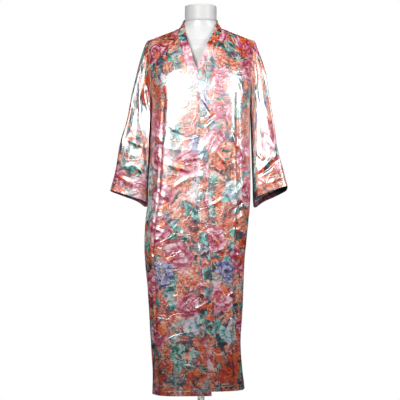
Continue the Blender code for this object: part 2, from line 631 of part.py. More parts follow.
def neckband(side, material):
    """Half of the neckband, with its other half meeting it in the middle of the back."""
    seam, edge = neckband_lines(side)
    width = np.linalg.norm(edge - seam, axis=1, keepdims=True)
    shares = SEAM / width + (1 - SEAM / width) * np.linspace(0, 1, BAND_COLUMNS + 1)
    points = seam[:, None] + (edge - seam)[:, None] * shares[..., None]
    along = np.gradient(points, axis=0)
    across = np.gradient(points, axis=1)
    normals = np.cross(along, across) * -side
    normals = normals / np.linalg.norm(normals, axis=-1, keepdims=True)
    normals[-1, :, 0] = 0
    normals[-1] /= np.linalg.norm(normals[-1], axis=-1, keepdims=True)
    name = "neckband_left" if side == LEFT else "neckband_right"
    quads = grid_quads(*points.shape[:2])
    return cloth_wall(name, points, normals, quads, BAND, BAND_PROUD, material)


def ring_points(height, half_width, front_depth, back_depth, centre_y, roundness, sides):
    """A level ring: a circle where the three depths are equal and roundness is 2."""
    turn = np.linspace(0, 2 * np.pi, sides, endpoint=False)
    x = half_width * np.sign(np.cos(turn)) * np.abs(np.cos(turn)) ** (2 / roundness)
    depth = np.where(np.sin(turn) < 0, front_depth, back_depth)
    y = centre_y + depth * np.sign(np.sin(turn)) * np.abs(np.sin(turn)) ** (2 / roundness)
    return np.stack([x, y, np.full(sides, height)], axis=1)


def lofted(name, rings, material):
    """A closed solid through rings of equal count, capped at both ends."""
    sides = len(rings[0])
    points = np.concatenate([*rings, [rings[0].mean(axis=0)], [rings[-1].mean(axis=0)]])
    faces = []
    for a, b, c, d in grid_quads(len(rings), sides, wraps=True):
        faces += [(a, b, c), (a, c, d)]
    first, last = len(points) - 2, len(points) - 1
    start = (len(rings) - 1) * sides
    for i in range(sides):
        faces.append((first, (i + 1) % sides, i))
        faces.append((last, start + i, start + (i + 1) % sides))
    return solid(name, points, faces, material)


def dress_form(material):
    """The torso from the hips to the neck's joint, with a blind hole for the pole in its underside."""
    hole = POLE_RADIUS + POLE_CLEARANCE
    low = FORM[0].height
    rings = [
        ring_points(low + POLE_IN_FORM, hole, hole, hole, 0, 2, FORM_SIDES),
        ring_points(low, hole, hole, hole, 0, 2, FORM_SIDES),
    ]
    for section in FORM:
        rings.append(ring_points(*section, FORM_SIDES))
    return lofted("form_torso", rings, material)


def turned(name, profile, centre_y, sides, material):
    """A solid turned about a vertical axis, from a list of (radius, height)."""
    rings = [ring_points(height, radius, radius, radius, centre_y, 2, sides) for radius, height in profile]
    return lofted(name, rings, material)


def neck_block(material):
    """The neck, a separate block on the torso, with a soft top edge."""
    low = FORM[-1].height + NECK_JOINT
    profile = [(NECK_RADIUS - NECK_CHAMFER, low), (NECK_RADIUS, low + NECK_CHAMFER)]
    for degrees in (0, 22.5, 45, 67.5, 90):
        turn = math.radians(degrees)
        radius = NECK_RADIUS - NECK_ROUND * (1 - math.cos(turn))
        profile.append((radius, NECK_TOP - NECK_ROUND * (1 - math.sin(turn))))
    return turned("form_neck", profile, NECK_Y, FORM_SIDES, material)


def stand(material):
    """The pole, in the form's hole and the base's socket, and the round base."""
    pole_low = BASE_HEIGHT + BOSS_HEIGHT - POLE_IN_BASE
    pole_high = FORM[0].height + POLE_IN_FORM - POLE_CLEARANCE
    turned("stand_pole", [(POLE_RADIUS, pole_low), (POLE_RADIUS, pole_high)], 0, POLE_SIDES, material)
    socket = POLE_RADIUS + POLE_CLEARANCE
    top = BASE_HEIGHT + BOSS_HEIGHT
    profile = [
        (BASE_RADIUS - BASE_ROUND / 2, 0),
        (BASE_RADIUS, BASE_ROUND / 2),
        (BASE_RADIUS, BASE_HEIGHT - BASE_ROUND),
        (BASE_RADIUS - BASE_ROUND, BASE_HEIGHT),
        (BOSS_RADIUS + BASE_ROUND, BASE_HEIGHT),
        (BOSS_RADIUS, BASE_HEIGHT + BASE_ROUND),
        (BOSS_RADIUS, top - BASE_ROUND / 2),
        (BOSS_RADIUS - BASE_ROUND / 2, top),
        (socket, top),
        (socket, pole_low - POLE_CLEARANCE),
    ]
    turned("stand_base", profile, 0, TURNED_SIDES, material)


def main():
    for old in list(bpy.data.objects):
        bpy.data.objects.remove(old)
    satin = make_material("printed_satin", (0.72, 0.55, 0.52), 0.32, 0.0)
    band_satin = make_material("band_satin", (0.70, 0.50, 0.46), 0.34, 0.0)
    form_white = make_material("form_gloss_white", (0.84, 0.83, 0.83), 0.22, 0.0)
    stand_white = make_material("stand_white", (0.80, 0.80, 0.80), 0.35, 0.0)

    back(satin)
    for side in (LEFT, RIGHT):
        front(side, satin)
        sleeve(side, satin)
        cuff_band(side, band_satin)
        neckband(side, band_satin)
    dress_form(form_white)
    neck_block(form_white)
    stand(stand_white)


main()
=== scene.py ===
"""The looks of the kimono robe on its dress form: folded printed satin, a gloss form, a stand and a studio.

Frame: metres, +Z up, -Y is the front, +X is the wearer's left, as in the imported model.
"""

import math
from collections import namedtuple
from functools import partialmethod

import bpy
import numpy as np
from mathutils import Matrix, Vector


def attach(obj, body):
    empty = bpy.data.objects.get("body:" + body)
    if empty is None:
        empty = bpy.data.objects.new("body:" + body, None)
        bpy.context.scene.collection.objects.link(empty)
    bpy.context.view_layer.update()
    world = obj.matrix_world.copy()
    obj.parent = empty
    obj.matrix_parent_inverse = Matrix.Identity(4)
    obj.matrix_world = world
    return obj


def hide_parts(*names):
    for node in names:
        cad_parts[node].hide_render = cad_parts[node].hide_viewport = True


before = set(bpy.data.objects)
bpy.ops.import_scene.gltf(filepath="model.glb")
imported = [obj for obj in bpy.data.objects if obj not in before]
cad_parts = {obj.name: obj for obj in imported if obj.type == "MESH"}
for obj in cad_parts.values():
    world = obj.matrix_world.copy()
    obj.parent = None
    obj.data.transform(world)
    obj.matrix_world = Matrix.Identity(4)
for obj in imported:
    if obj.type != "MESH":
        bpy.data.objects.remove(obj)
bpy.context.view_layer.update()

# Cloth, in metres
CLOTH = 0.0012  # wall of a single layer of satin
BAND = 0.0020  # wall of the folded neckband and the cuff bands
BAND_PROUD = 0.0003  # how far a band's face stands above the panel beside it
BAND_ROUND = (0.9, 0.12, 0.12)  # from where the neckband thins, over how far, and its least squared share
SEAM = 0.0004  # gap between two pieces at a seam
UNSTITCHED = 1  # added to the distance from a sewn edge where no stitches show
CUFF_SEAM = 0.0006
OVERLAP_LIFT = 0.0045  # how far the left front lies above the right front where they cross
OVERLAP_X = (0.045, 0.105)
OVERLAP_Z = (1.37, 1.46)
OVERLAP_HIGH = 0.15  # share of the lift that is left above OVERLAP_Z
CUFF_BAND = 0.023
GIRTH_RADIUS = 0.165  # turns an angle round the body into a length

# Shoulder and neck
SHOULDER_X = 0.190
ARMHOLE_X = 0.178
NECK_SEAM_X = 0.0755
NECK_SEAM_BACK = 0.078
NECK_EDGE_X = 0.0612
NECK_EDGE_BACK = 0.0665
NECK_EDGE_Y = 0.003
NECK_EDGE_Z = 1.5285

FRONT = -1
BACK = 1
LEFT = 1  # the wearer's left, at +X
RIGHT = -1

# The robe's body, a row for each level section, as in the model of its solids
Section = namedtuple("Section", "height centre_x half_width front back roundness rise armhole")
SECTIONS = [Section(*row) for row in (
    (0.18, -0.009, 0.166, 0.132, 0.126, 2.9, 0, 0.166), (0.26, -0.012, 0.16, 0.129, 0.125, 2.9, 0, 0.16),
    (0.36, -0.017, 0.16, 0.127, 0.125, 3, 0, 0.16), (0.46, -0.017, 0.166, 0.127, 0.126, 3, 0, 0.166),
    (0.56, -0.018, 0.1715, 0.128, 0.128, 3, 0, 0.1715), (0.66, -0.0205, 0.178, 0.13, 0.13, 3.1, 0, 0.178),
    (0.74, -0.018, 0.183, 0.133, 0.131, 3.2, 0, 0.183), (0.81, -0.0125, 0.184, 0.136, 0.13, 3.2, 0, 0.184),
    (0.87, -0.006, 0.1825, 0.138, 0.127, 3.2, 0, 0.1825), (0.94, -0.004, 0.181, 0.14, 0.122, 3.2, 0, 0.181),
    (1.02, -0.003, 0.18, 0.142, 0.116, 3.2, 0, 0.18), (1.1, -0.002, 0.179, 0.144, 0.111, 3.2, 0, 0.179),
    (1.165, -0.001, 0.1785, 0.146, 0.109, 3.2, 0, 0.1785), (1.22, 0, 0.178, 0.146, 0.109, 3.2, 0, 0.178),
    (1.262, 0, 0.183, 0.1445, 0.11, 3.1, 0.03, 0.1785), (1.3, 0, 0.188, 0.1405, 0.111, 2.95, 0.09, 0.179),
    (1.335, 0, 0.192, 0.1315, 0.11, 2.75, 0.17, 0.18),
    (1.367, 0, 0.1945, 0.1165, 0.106, 2.55, 0.25, 0.1815),
    (1.395, 0, 0.1955, 0.097, 0.098, 2.4, 0.31, 0.184),
    (1.418, 0, 0.1955, 0.0765, 0.086, 2.25, 0.355, 0.187),
    (1.435, 0, 0.195, 0.0565, 0.069, 2.15, 0.38, 0.19),
    (1.446, 0, 0.1945, 0.036, 0.047, 2.05, 0.395, 0.192),
    (1.4508, 0, 0.194, 0.0165, 0.0225, 2, 0.4, 0.1935), (1.452, 0, 0.194, 0, 0, 2, 0.4, 0.194),
)]
UNDERARM = 13
SHOULDER = len(SECTIONS) - 1
TURNS_OVER = ("front", "back")

HEM_FADE = 0.30
HEM_LIFT = {
    "front_right": ((-90, 0.000), (0, 0.007)),
    "front_left": ((0, 0.024), (90, 0.018)),
    "back": ((-90, 0.000), (0, 0.010), (90, 0.018)),
}

# The fronts' seams to the neckband and its free edges, from the neck down to the hem
Closing = namedtuple("Closing", "seam_z seam_x edge_z edge_x edge_y stands", defaults=(-0.080, 0.0))
CLOSING = {
    LEFT: [Closing(*row) for row in (
        (1.4978, 0.0755, 1.5285, 0.0612, 0.003, 1), (1.492, 0.075, 1.511, 0.0575, -0.0315, 1),
        (1.479, 0.0735, 1.4925, 0.051, -0.052, 1), (1.447, 0.0655, 1.4605, 0.0375, -0.068, 0.6),
        (1.4167, 0.0515, 1.43, 0.0224), (1.379, 0.0369, 1.3925, 0.0078), (1.349, 0.0225, 1.3627, -0.0071),
        (1.322, 0.0155, 1.333, -0.015), (1.261, 0.0215, 1.262, -0.0095), (1.17, 0.027, 1.17, -0.0025),
        (1.05, 0.027, 1.05, -0.0035), (0.84, 0.0255, 0.84, -0.0053), (0.75, 0.0258, 0.75, -0.0053),
        (0.66, 0.0335, 0.66, 0.0018), (0.59, 0.039, 0.59, 0.007), (0.42, 0.0495, 0.42, 0.0176),
        (0.31, 0.0525, 0.31, 0.0204), (0.26, 0.056, 0.26, 0.0235), (0.18, 0.07, 0.18, 0.038),
    )],
    RIGHT: [Closing(*row) for row in (
        (1.4978, -0.0755, 1.527, -0.0612, 0.003, 1), (1.492, -0.0775, 1.511, -0.0605, -0.02, 1),
        (1.479, -0.08, 1.493, -0.059, -0.042, 1), (1.4555, -0.0815, 1.464, -0.0529, -0.062, 0.6),
        (1.419, -0.0737, 1.427, -0.0427), (1.3845, -0.0643, 1.3925, -0.0333),
        (1.3475, -0.054, 1.3555, -0.023), (1.328, -0.0465, 1.337, -0.0148), (1.29, -0.0325, 1.3, -0.0015),
        (1.25, -0.019, 1.256, 0.0125), (1.19, -0.0085, 1.192, 0.0235), (1.09, -0.0015, 1.09, 0.0305),
        (0.95, 0, 0.95, 0.032), (0.75, -0.002, 0.75, 0.03), (0.6, -0.0055, 0.6, 0.0265),
        (0.4, -0.0055, 0.4, 0.0275), (0.3, -0.004, 0.3, 0.0285), (0.18, 0.0045, 0.18, 0.0385),
    )],
}

# The large folds: a height and an angle round the body at both ends, how deep, how wide before and after the
# crest, and the side on which the cloth drops
Fold = namedtuple("Fold", "name top top_girth bottom bottom_girth depth width drop side")
FOLDS = [
    Fold("bust_left", 1.170, 29, 0.330, 41, 0.0115, 0.045, 0.010, 1),
    Fold("bust_right", 1.170, -31, 0.300, -50, 0.0115, 0.045, 0.010, -1),
    Fold("side_left", 1.080, 72, 0.200, 66, 0.0050, 0.022, 0.016, 1),
    Fold("side_right", 1.080, -74, 0.200, -78, 0.0050, 0.022, 0.016, -1),
    Fold("back_left", 1.130, 128, 0.200, 122, 0.0070, 0.030, 0.016, -1),
    Fold("back_right", 1.130, 232, 0.200, 240, 0.0070, 0.030, 0.016, 1),
    Fold("back_middle", 0.950, 172, 0.200, 166, 0.0060, 0.030, 0.018, -1),
]
FOLD_FADE = 0.16
FOLD_TROUGH = 0.45

Sleeve = namedtuple("Sleeve", "middle outer front lean deepens droop droop_turn")
SLEEVES = {
    LEFT: Sleeve(
        (0.2510, -0.008, 0.8935), (0.0605, -0.012, 0.0238), (0.0, -0.056, 0.014), -0.012, 0.6, 0.014, 0.62
    ),
    RIGHT: Sleeve(
        (-0.2607, -0.008, 0.8865), (-0.0670, 0.008, 0.0218), (0.0, -0.046, 0.005), 0.007, 0.2, 0.014, 0.61
    ),
}
CUFF_ROUNDNESS = 3.6
# How far the sleeves bulge outwards, the left and the right one, after a share of the way down
BULGES = (
    (0, 0, 0), (0.03, 0.0035, 0.0045), (0.08, 0.0085, 0.007), (0.14, 0.015, 0.009), (0.22, 0.0185, 0.0095),
    (0.36, 0.0125, 0.009), (0.5, 0.0055, 0.003), (0.7, -0.003, -0.0015), (1, 0, 0),
)
DROOP_WIDTH = 0.09
SLEEVE_DEPTH = 0.058
SLEEVE_CORNER = 0.075
SLEEVE_FOLD = 0.004
SLEEVE_FOLD_TURNS = (0.17, 0.84)
SLEEVE_FOLD_WIDTH = 0.055
SLEEVE_FLAT = ((0.0, 0.16), (0.60, 1.0))  # along a sleeve, where it flattens and where it opens again
SLEEVE_GIRTH = 0.38
SLEEVE_SEAM = 0.10  # and how far round from a sleeve's outer line they do, as a share of its girth
CRUMPLES_FROM = {LEFT: 9, RIGHT: 11}  # where the sleeves' crumples start, well apart from each other
SLEEVE_OTHERS = 3  # how far on the crumples lie that they change over to

# The torso's sections. Most have the same centre and roundness.
FORM_FIELDS = "height half_width front back centre_y roundness"
FormSection = namedtuple("FormSection", FORM_FIELDS, defaults=(0.0, 2.2))
FORM = [FormSection(*row) for row in (
    (0.78, 0.148, 0.084, 0.094), (0.786, 0.156, 0.091, 0.101), (0.815, 0.162, 0.096, 0.108),
    (0.87, 0.164, 0.098, 0.111), (0.94, 0.157, 0.095, 0.106), (1.01, 0.139, 0.091, 0.094),
    (1.07, 0.126, 0.089, 0.086), (1.13, 0.129, 0.1, 0.086), (1.19, 0.14, 0.118, 0.089),
    (1.24, 0.148, 0.128, 0.092), (1.285, 0.152, 0.121, 0.094), (1.325, 0.159, 0.11, 0.096, 0, 2.1),
    (1.362, 0.17, 0.1, 0.093, 0, 2), (1.393, 0.18, 0.094, 0.088, 0, 1.85),
    (1.418, 0.1855, 0.087, 0.082, 0, 1.7), (1.438, 0.1855, 0.075, 0.07, 0, 1.5),
    (1.446, 0.1875, 0.07, 0.065, 0, 1.42), (1.45, 0.1895, 0.0675, 0.063, 0, 1.38),
    (1.46, 0.1655, 0.064, 0.0605, 0, 1.4), (1.47, 0.1407, 0.0615, 0.06, 0.001, 1.46),
    (1.48, 0.1152, 0.059, 0.059, 0.001, 1.5), (1.488, 0.095, 0.0585, 0.059, 0.002, 1.6),
    (1.4942, 0.0788, 0.0582, 0.0585, 0.003, 1.75), (1.499, 0.069, 0.058, 0.0585, 0.004, 1.95),
    (1.507, 0.0645, 0.058, 0.0585, 0.004, 2), (1.518, 0.06, 0.058, 0.058, 0.004, 2),
)]
NECK_RADIUS = 0.0583
NECK_Y = 0.004
NECK_JOINT = 0.0003
NECK_TOP = 1.5770
NECK_ROUND = 0.0040
NECK_CHAMFER = 0.0008
SHARP_ANGLE = 50  # edges that turn by more degrees are shaded as edges

# How finely the cloth is cut
FRONT_ROWS = 540
FRONT_COLUMNS = 84
BACK_ROWS = 420
BACK_COLUMNS = 54
BAND_COLUMNS = 10
SLEEVE_ROWS = 180
SLEEVE_COLUMNS = 132
CUFF_ROWS = 9
BEHIND_ROWS = 46  # of the neckband, behind the neck
TORSO_SIDES = 160
NECK_SIDES = 96
FLOOR_SIDES = 96
ROUNDS = 12  # of closing in on a place on the body's surface

# Where each piece lies on the printed cloth, in metres
PRINT_AT = {
    "front_left": (0.31, 0.07),
    "front_right": (1.13, 0.42),
    "back": (2.35, 0.18),
    "sleeve_left": (3.27, 0.55),
    "sleeve_right": (4.10, 0.21),
    "neckband_left": (5.37, 0.53),
    "neckband_right": (5.94, 0.80),
    "cuff_band_left": (3.27, 0.53),
    "cuff_band_right": (4.10, 0.19),
}

# The creases that show on the front, in millimetres as seen from straight in front: two ends, depth outwards
# (below 0 for a trough) and half width.
Crease = namedtuple("Crease", "x0 z0 x1 z1 depth width")
FRONT_CREASES = (
    (-4, 1240, 28, 1172, -4, 6), (4, 1236, 36, 1168, 3, 7), (45, 1171, 13, 1138, -3.8, 5),
    (52, 1166, 20, 1130, 2.8, 7), (122, 1322, 174, 1324, -2.2, 4), (134, 1300, 152, 1225, 3, 8),
    (150, 1300, 164, 1215, -2.8, 7), (102, 1120, 137, 1046, 3, 5.5), (112, 1126, 146, 1058, -2.6, 5),
    (120, 1108, 158, 1020, 2.6, 6), (119, 1012, 142, 1033, -3, 4), (32, 857, 86, 884, 2.6, 5.5),
    (27, 766, 58, 717, 2.8, 5.5), (105, 766, 133, 774, 2.6, 4.5), (115, 680, 146, 684, 2.6, 4.5),
    (62, 573, 86, 524, 3.2, 5.5), (86, 524, 115, 551, 3, 5), (95, 455, 122, 440, 2.4, 5),
    (45, 331, 84, 329, 2.6, 4.5), (84, 335, 105, 363, 2.4, 5), (108, 832, 152, 872, -3, 6),
    (112, 790, 156, 835, 2.6, 7), (110, 890, 158, 940, 2.8, 7), (-188, 717, -148, 739, 2.6, 4.5),
    (-172, 777, -130, 761, 2.6, 5), (-178, 679, -158, 672, 2.4, 4.5), (-70, 766, -43, 728, 3, 5),
    (-100, 538, -70, 533, 1.5, 5), (-122, 559, -91, 581, 1.4, 5.5), (-109, 500, -78, 510, 1.5, 5),
    (-30, 507, -12, 480, 1.6, 5.5), (-65, 293, -21, 287, 2.4, 4.5), (-30, 283, 14, 265, 2.4, 5),
    (-120, 1128, -66, 1094, -1.8, 6), (-110, 1000, -40, 972, 2, 7), (-92, 920, -45, 955, 2.2, 6),
    (-150, 905, -118, 880, 2.4, 6), (48, 1055, 84, 1000, 2.2, 6), (36, 985, 75, 955, -2.2, 6),
    (-152, 1330, -120, 1270, 1.6, 8), (-12, 885, -9, 690, -5, 6), (-132, 760, -150, 430, 4, 12),
    (-78, 430, -88, 200, 3.2, 14), (-112, 640, -104, 460, -3, 11), (132, 520, 146, 210, 4, 12),
    (64, 420, 72, 200, 3, 12), (92, 640, 84, 430, -2.8, 10),
)
# The same for the back, as seen from straight behind, with x still along +X
BACK_CREASES = (
    (-110, 1330, -30, 1352, -2, 7), (120, 1300, 50, 1345, -1.8, 7), (-150, 1180, -80, 1120, 3, 8),
    (148, 1170, 70, 1105, 3, 8), (-130, 1090, -40, 1060, -2.6, 7), (120, 1050, 45, 1020, -2.4, 7),
    (-60, 970, 40, 950, 2.6, 8), (130, 900, 80, 860, 2.8, 6), (-150, 880, -90, 840, 2.6, 6),
    (-70, 720, -20, 690, 3, 5.5), (110, 660, 60, 700, 2.6, 5), (-140, 560, -100, 600, 2.8, 5.5),
    (40, 520, 90, 500, 2.6, 5), (-50, 400, 10, 430, 2.8, 5.5), (100, 330, 60, 290, 2.4, 5),
    (-120, 300, -80, 260, 2.4, 5),
)
# The same for the sleeves: the front shows in the photograph, the back is like it
SLEEVE_CREASES = {
    FRONT: (
        (-186, 1395, -192, 1335, -4, 7), (-180, 1400, -184, 1320, 3, 5), (-222, 1250, -216, 1130, -4, 8),
        (-205, 1290, -188, 1190, 3.5, 8), (-246, 1240, -236, 1200, 2.2, 6), (-262, 1090, -205, 1060, 3, 8),
        (-240, 1040, -200, 1075, -3, 7), (-285, 990, -235, 1000, 2.8, 7), (-290, 960, -250, 930, 3, 7),
        (-225, 990, -195, 950, 2.6, 7), (-310, 1055, -190, 1065, 12, 70), (206, 966, 280, 1022, -5, 6),
        (212, 982, 268, 1034, 3.6, 8), (232, 1090, 262, 1060, 2.8, 7), (205, 1130, 240, 1100, -2.4, 7),
        (198, 1050, 225, 1010, 2.6, 6), (215, 1210, 236, 1165, 2.2, 8), (250, 935, 292, 962, 2.4, 6),
        (196, 1300, 204, 1210, 2.4, 8), (310, 1055, 190, 1065, -4, 60),
    ),
    BACK: (
        (-190, 1380, -200, 1280, -3.6, 8), (-215, 1200, -205, 1090, -3.6, 8),
        (-250, 1080, -210, 1040, 3, 8), (-280, 980, -230, 1000, 2.8, 7), (196, 1370, 206, 1270, -3.6, 8),
        (232, 1190, 220, 1080, -3.4, 8), (210, 1020, 262, 990, 3, 8), (240, 950, 275, 975, 2.6, 7),
    ),
}
CREASES_END = (1.40, 1.46)  # creases fade over this height
CREASES_SOFTER = (0.5, 0.9)  # and are half as deep below this one
ARMHOLE_STILL = (1.20, 1.24)  # above this nothing moves beside the armholes
ARMHOLE_REACH = (0.004, 0.020)  # how far in from them that holds

# The small crumples all over: bowls round scattered points, which meet in crisp ridges. stretch and tilt
# lay the ridges of a size in one slanting direction, and patch is how large its strong and weak places are.
Crumple = namedtuple("Crumple", "spacing depth stretch tilt patch seed")
CRUMPLES = [
    Crumple(0.090, 0.0030, 1.5, 0.6, 0.30, 11),
    Crumple(0.046, 0.0011, 1.7, -0.8, 0.16, 21),
    Crumple(0.027, 0.0004, 1.8, 0.35, 0.10, 31),
]
CALM_HIGH = (1.02, 1.22)  # crumples fade over this height
CALM_CHEST = 0.22  # how deep they still are above it
CALM_SIDES = 0.45  # and at the side seams
CALM_SHOULDERS = (1.36, 1.44)  # crumples end over this height
WRAP_SEAM = 0.06  # how far from the middle of the front its crumples change over, so that they join up
BODY_OTHERS = 5  # how far on the crumples lie that they change over to

SCATTER_TURNS = np.array([[12.9898, 78.233], [39.346, 11.135], [73.156, 52.235]])


def smooth_step(low, high, value):
    """0 below low, 1 above high, and a soft turn between."""
    share = np.clip((np.asarray(value, float) - low) / (high - low), 0, 1)
    return share * share * (3 - 2 * share)


def bell(distance, width):
    """1 at no distance, and a soft fall to 0 on both sides."""
    return np.exp(-((distance / width) ** 2))


def signed_power(value, power):
    """A power of the value's size, with the value's sign."""
    return np.sign(value) * np.abs(value) ** power


def unit(vectors):
    """The vectors, each made 1 long."""
    return vectors / np.maximum(np.linalg.norm(vectors, axis=-1, keepdims=True), 1e-15)


def lengths_along(points):
    """The length along each line of points, from its first point."""
    steps = np.linalg.norm(np.diff(points, axis=-2), axis=-1)
    return np.concatenate([np.zeros((*steps.shape[:-1], 1)), np.cumsum(steps, axis=-1)], axis=-1)


def path_lengths(points):
    """Lengths along the first axis of a grid, in its middle column."""
    return lengths_along(points[:, points.shape[1] // 2])[:, None]


def closed(rings):
    """Rings of points with the first one again at the end."""
    return np.concatenate([rings, rings[..., :1, :]], axis=-2)


def sided(name, side):
    """The name of one of a pair."""
    return name + ("_left" if side == LEFT else "_right")


def padded_column(name):
    """A column of SECTIONS with one more value at each end, so that a curve runs through all of it."""
    values = [getattr(section, name) for section in SECTIONS]
    past_shoulder = -values[-2] if name in TURNS_OVER else values[-2]
    return np.array([2 * values[0] - values[1]] + values + [past_shoulder])


COLUMNS = {name: padded_column(name) for name in Section._fields}


def through(values, index, part):
    """A smooth curve through padded values, at a whole index and a part of the way to the next."""
    a, b, c, d = (values[index + step] for step in range(4))
    return b + 0.5 * part * (c - a + part * (2 * a - 5 * b + 4 * c - d + part * (3 * (b - c) + d - a)))


def section_at(row):
    """The section at a fractional row."""
    row = np.clip(np.asarray(row, float), 0, SHOULDER)
    index = np.minimum(np.floor(row).astype(int), SHOULDER - 1)
    return Section(*(through(COLUMNS[name], index, row - index) for name in Section._fields))


def girth_of(face, angle):
    """The angle round the body, which runs on from the front to the back."""
    return angle if face == FRONT else 180 - angle


def fold_height(girth, height):
    """How far the large folds lift the cloth, at an angle round the body and a height."""
    total = 0.0
    for fold in FOLDS:
        share = np.clip((height - fold.bottom) / (fold.top - fold.bottom), 0, 1)
        at = fold.bottom_girth + (fold.top_girth - fold.bottom_girth) * share
        across = np.radians((girth - at + 180) % 360 - 180) * GIRTH_RADIUS * fold.side
        crest = bell(across, np.where(across < 0, fold.width, fold.drop))
        trough = bell(across - 2 * fold.drop, fold.drop)
        shown = smooth_step(fold.bottom - FOLD_FADE, fold.bottom + FOLD_FADE, height)
        shown = shown * (1 - smooth_step(fold.top - FOLD_FADE, fold.top + FOLD_FADE, height))
        total = total + fold.depth * (crest - FOLD_TROUGH * trough) * shown
    return total


def body_point(row, angle, face, panel):
    """Points of the robe's body with its large folds."""
    row, angle = np.broadcast_arrays(np.asarray(row, float), np.asarray(angle, float))
    section = section_at(row)
    turn = np.radians(np.clip(angle, -90, 90))
    power = 2 / section.roundness
    across = signed_power(np.sin(turn), power)
    deep = np.maximum(np.cos(turn), 0) ** power
    depth = section.front if face == FRONT else section.back
    x = section.centre_x + section.half_width * across
    y = face * (SEAM / 2 + depth * deep)
    z = section.height + section.rise * (SHOULDER_X - np.abs(x - section.centre_x))

    angles, lifts = zip(*HEM_LIFT[panel])
    z = z + np.interp(angle, angles, lifts) * (1 - smooth_step(0, HEM_FADE, z - SECTIONS[0].height))

    normal_x = signed_power(across, section.roundness - 1) / section.half_width
    normal_y = face * deep ** (section.roundness - 1) / np.maximum(depth, 0.01)
    length = np.maximum(np.hypot(normal_x, normal_y), 1e-9)
    lift = fold_height(girth_of(face, angle), z)
    if panel == "front_left":
        near = 1 - smooth_step(*OVERLAP_X, x)
        low = 1 - (1 - OVERLAP_HIGH) * smooth_step(*OVERLAP_Z, z)
        lift = lift + OVERLAP_LIFT * near * low
    return np.stack([x + lift * normal_x / length, y + lift * normal_y / length, z], axis=-1)


def body_normal(row, angle, face, panel):
    """Outward normals of the robe's body."""
    step_row, step_angle = 0.05, 1.0
    row, angle = np.broadcast_arrays(np.asarray(row, float), np.asarray(angle, float))
    along = body_point(np.minimum(row + step_row, SHOULDER), angle, face, panel)
    along = along - body_point(np.maximum(row - step_row, 0), angle, face, panel)
    across = body_point(row, np.minimum(angle + step_angle, 90), face, panel)
    across = across - body_point(row, np.maximum(angle - step_angle, -90), face, panel)
    normal = unit(np.cross(across, along) * -face)
    on_seam = (np.abs(angle) > 89.9) | (row > SHOULDER - 1e-6)
    normal[..., 1] = np.where(on_seam, 0, normal[..., 1])
    return unit(normal)


def angle_at(row, x):
    """The angle whose point of the section has this x."""
    section = section_at(row)
    share = np.clip((x - section.centre_x) / section.half_width, -1, 1)
    return np.degrees(np.arcsin(signed_power(share, section.roundness / 2)))


def armhole_angle(row):
    """The angle at which a panel ends: the side seam below the underarm, the armhole above it."""
    section = section_at(row)
    share = np.clip(section.armhole / section.half_width, 0, 1)
    angle = np.degrees(np.arcsin(share ** (section.roundness / 2)))
    return np.where(np.asarray(row) <= UNDERARM, 90.0, angle)


def closing_at(side, seam_z):
    """The seam and the free edge of a front, at heights of the seam."""
    columns = Closing(*zip(*CLOSING[side][::-1]))
    return Closing(*(np.interp(seam_z, columns.seam_z, column) for column in columns))


def front_seam_angle(side, row):
    """The angle at which a front panel meets its neckband."""
    x = np.full(row.shape, side * NECK_SEAM_X)
    for _ in range(ROUNDS):
        height = body_point(row, angle_at(row, x), FRONT, sided("front", side))[..., 2]
        x = closing_at(side, height).seam_x
    return angle_at(row, x)


def body_row_at(side, x, height):
    """The rows at which a front panel's surface passes given x and height."""
    heights = np.array([section.height for section in SECTIONS])
    row = np.interp(height, heights, np.arange(len(SECTIONS)))
    for _ in range(ROUNDS):
        missing = height - body_point(row, angle_at(row, x), FRONT, sided("front", side))[..., 2]
        rise = np.maximum(np.interp(row, np.arange(SHOULDER), np.diff(heights)), 0.004)
        row = np.clip(row + missing / rise, 0, SHOULDER)
    return row


def back_neck_x(row):
    """Half the width of the neckline on the back, 0 below it."""
    return NECK_SEAM_X * np.sqrt(np.clip(1 - (section_at(row).back / NECK_SEAM_BACK) ** 2, 0, 1))


def back_neck_row():
    """The row at which the back neckline passes the middle of the back."""
    low, high = float(UNDERARM), float(SHOULDER)
    for _ in range(40):
        middle = (low + high) / 2
        low, high = (middle, high) if section_at(middle).back > NECK_SEAM_BACK else (low, middle)
    return high


BACK_NECK_ROW = back_neck_row()


def rows_evenly(face, count, kept=()):
    """Rows evenly spaced along the cloth in the middle of a face, with the kept rows among them."""
    fine = np.linspace(0, SHOULDER, 3000)
    path = lengths_along(body_point(fine, 0.0, face, "back" if face == BACK else "front_right"))
    rows = np.interp(np.linspace(0, path[-1], count), path, fine)
    for row in kept:
        rows[np.argmin(np.abs(rows - row))] = row
    return rows


def waves(x, z, seed, length, count=7):
    """Smooth noise of about unit size, from waves of about one length."""
    rng = np.random.default_rng(seed)
    total = 0
    for _ in range(count):
        turn, phase, stretch = rng.uniform(0, 2 * np.pi), rng.uniform(0, 2 * np.pi), rng.uniform(0.7, 1.5)
        total = total + np.cos((x * np.cos(turn) + z * np.sin(turn)) * 2 * np.pi / (length * stretch) + phase)
    return total / math.sqrt(count / 2)


def scattered(places, seed):
    """Three numbers from 0 to 1 for each whole place, the same wherever the grid starts."""
    places = np.round(places)
    mixed_up = [np.sin(places @ turn + seed * 1.37) * 43758.5453 for turn in SCATTER_TURNS]
    return np.stack([value - np.floor(value) for value in mixed_up], axis=-1)


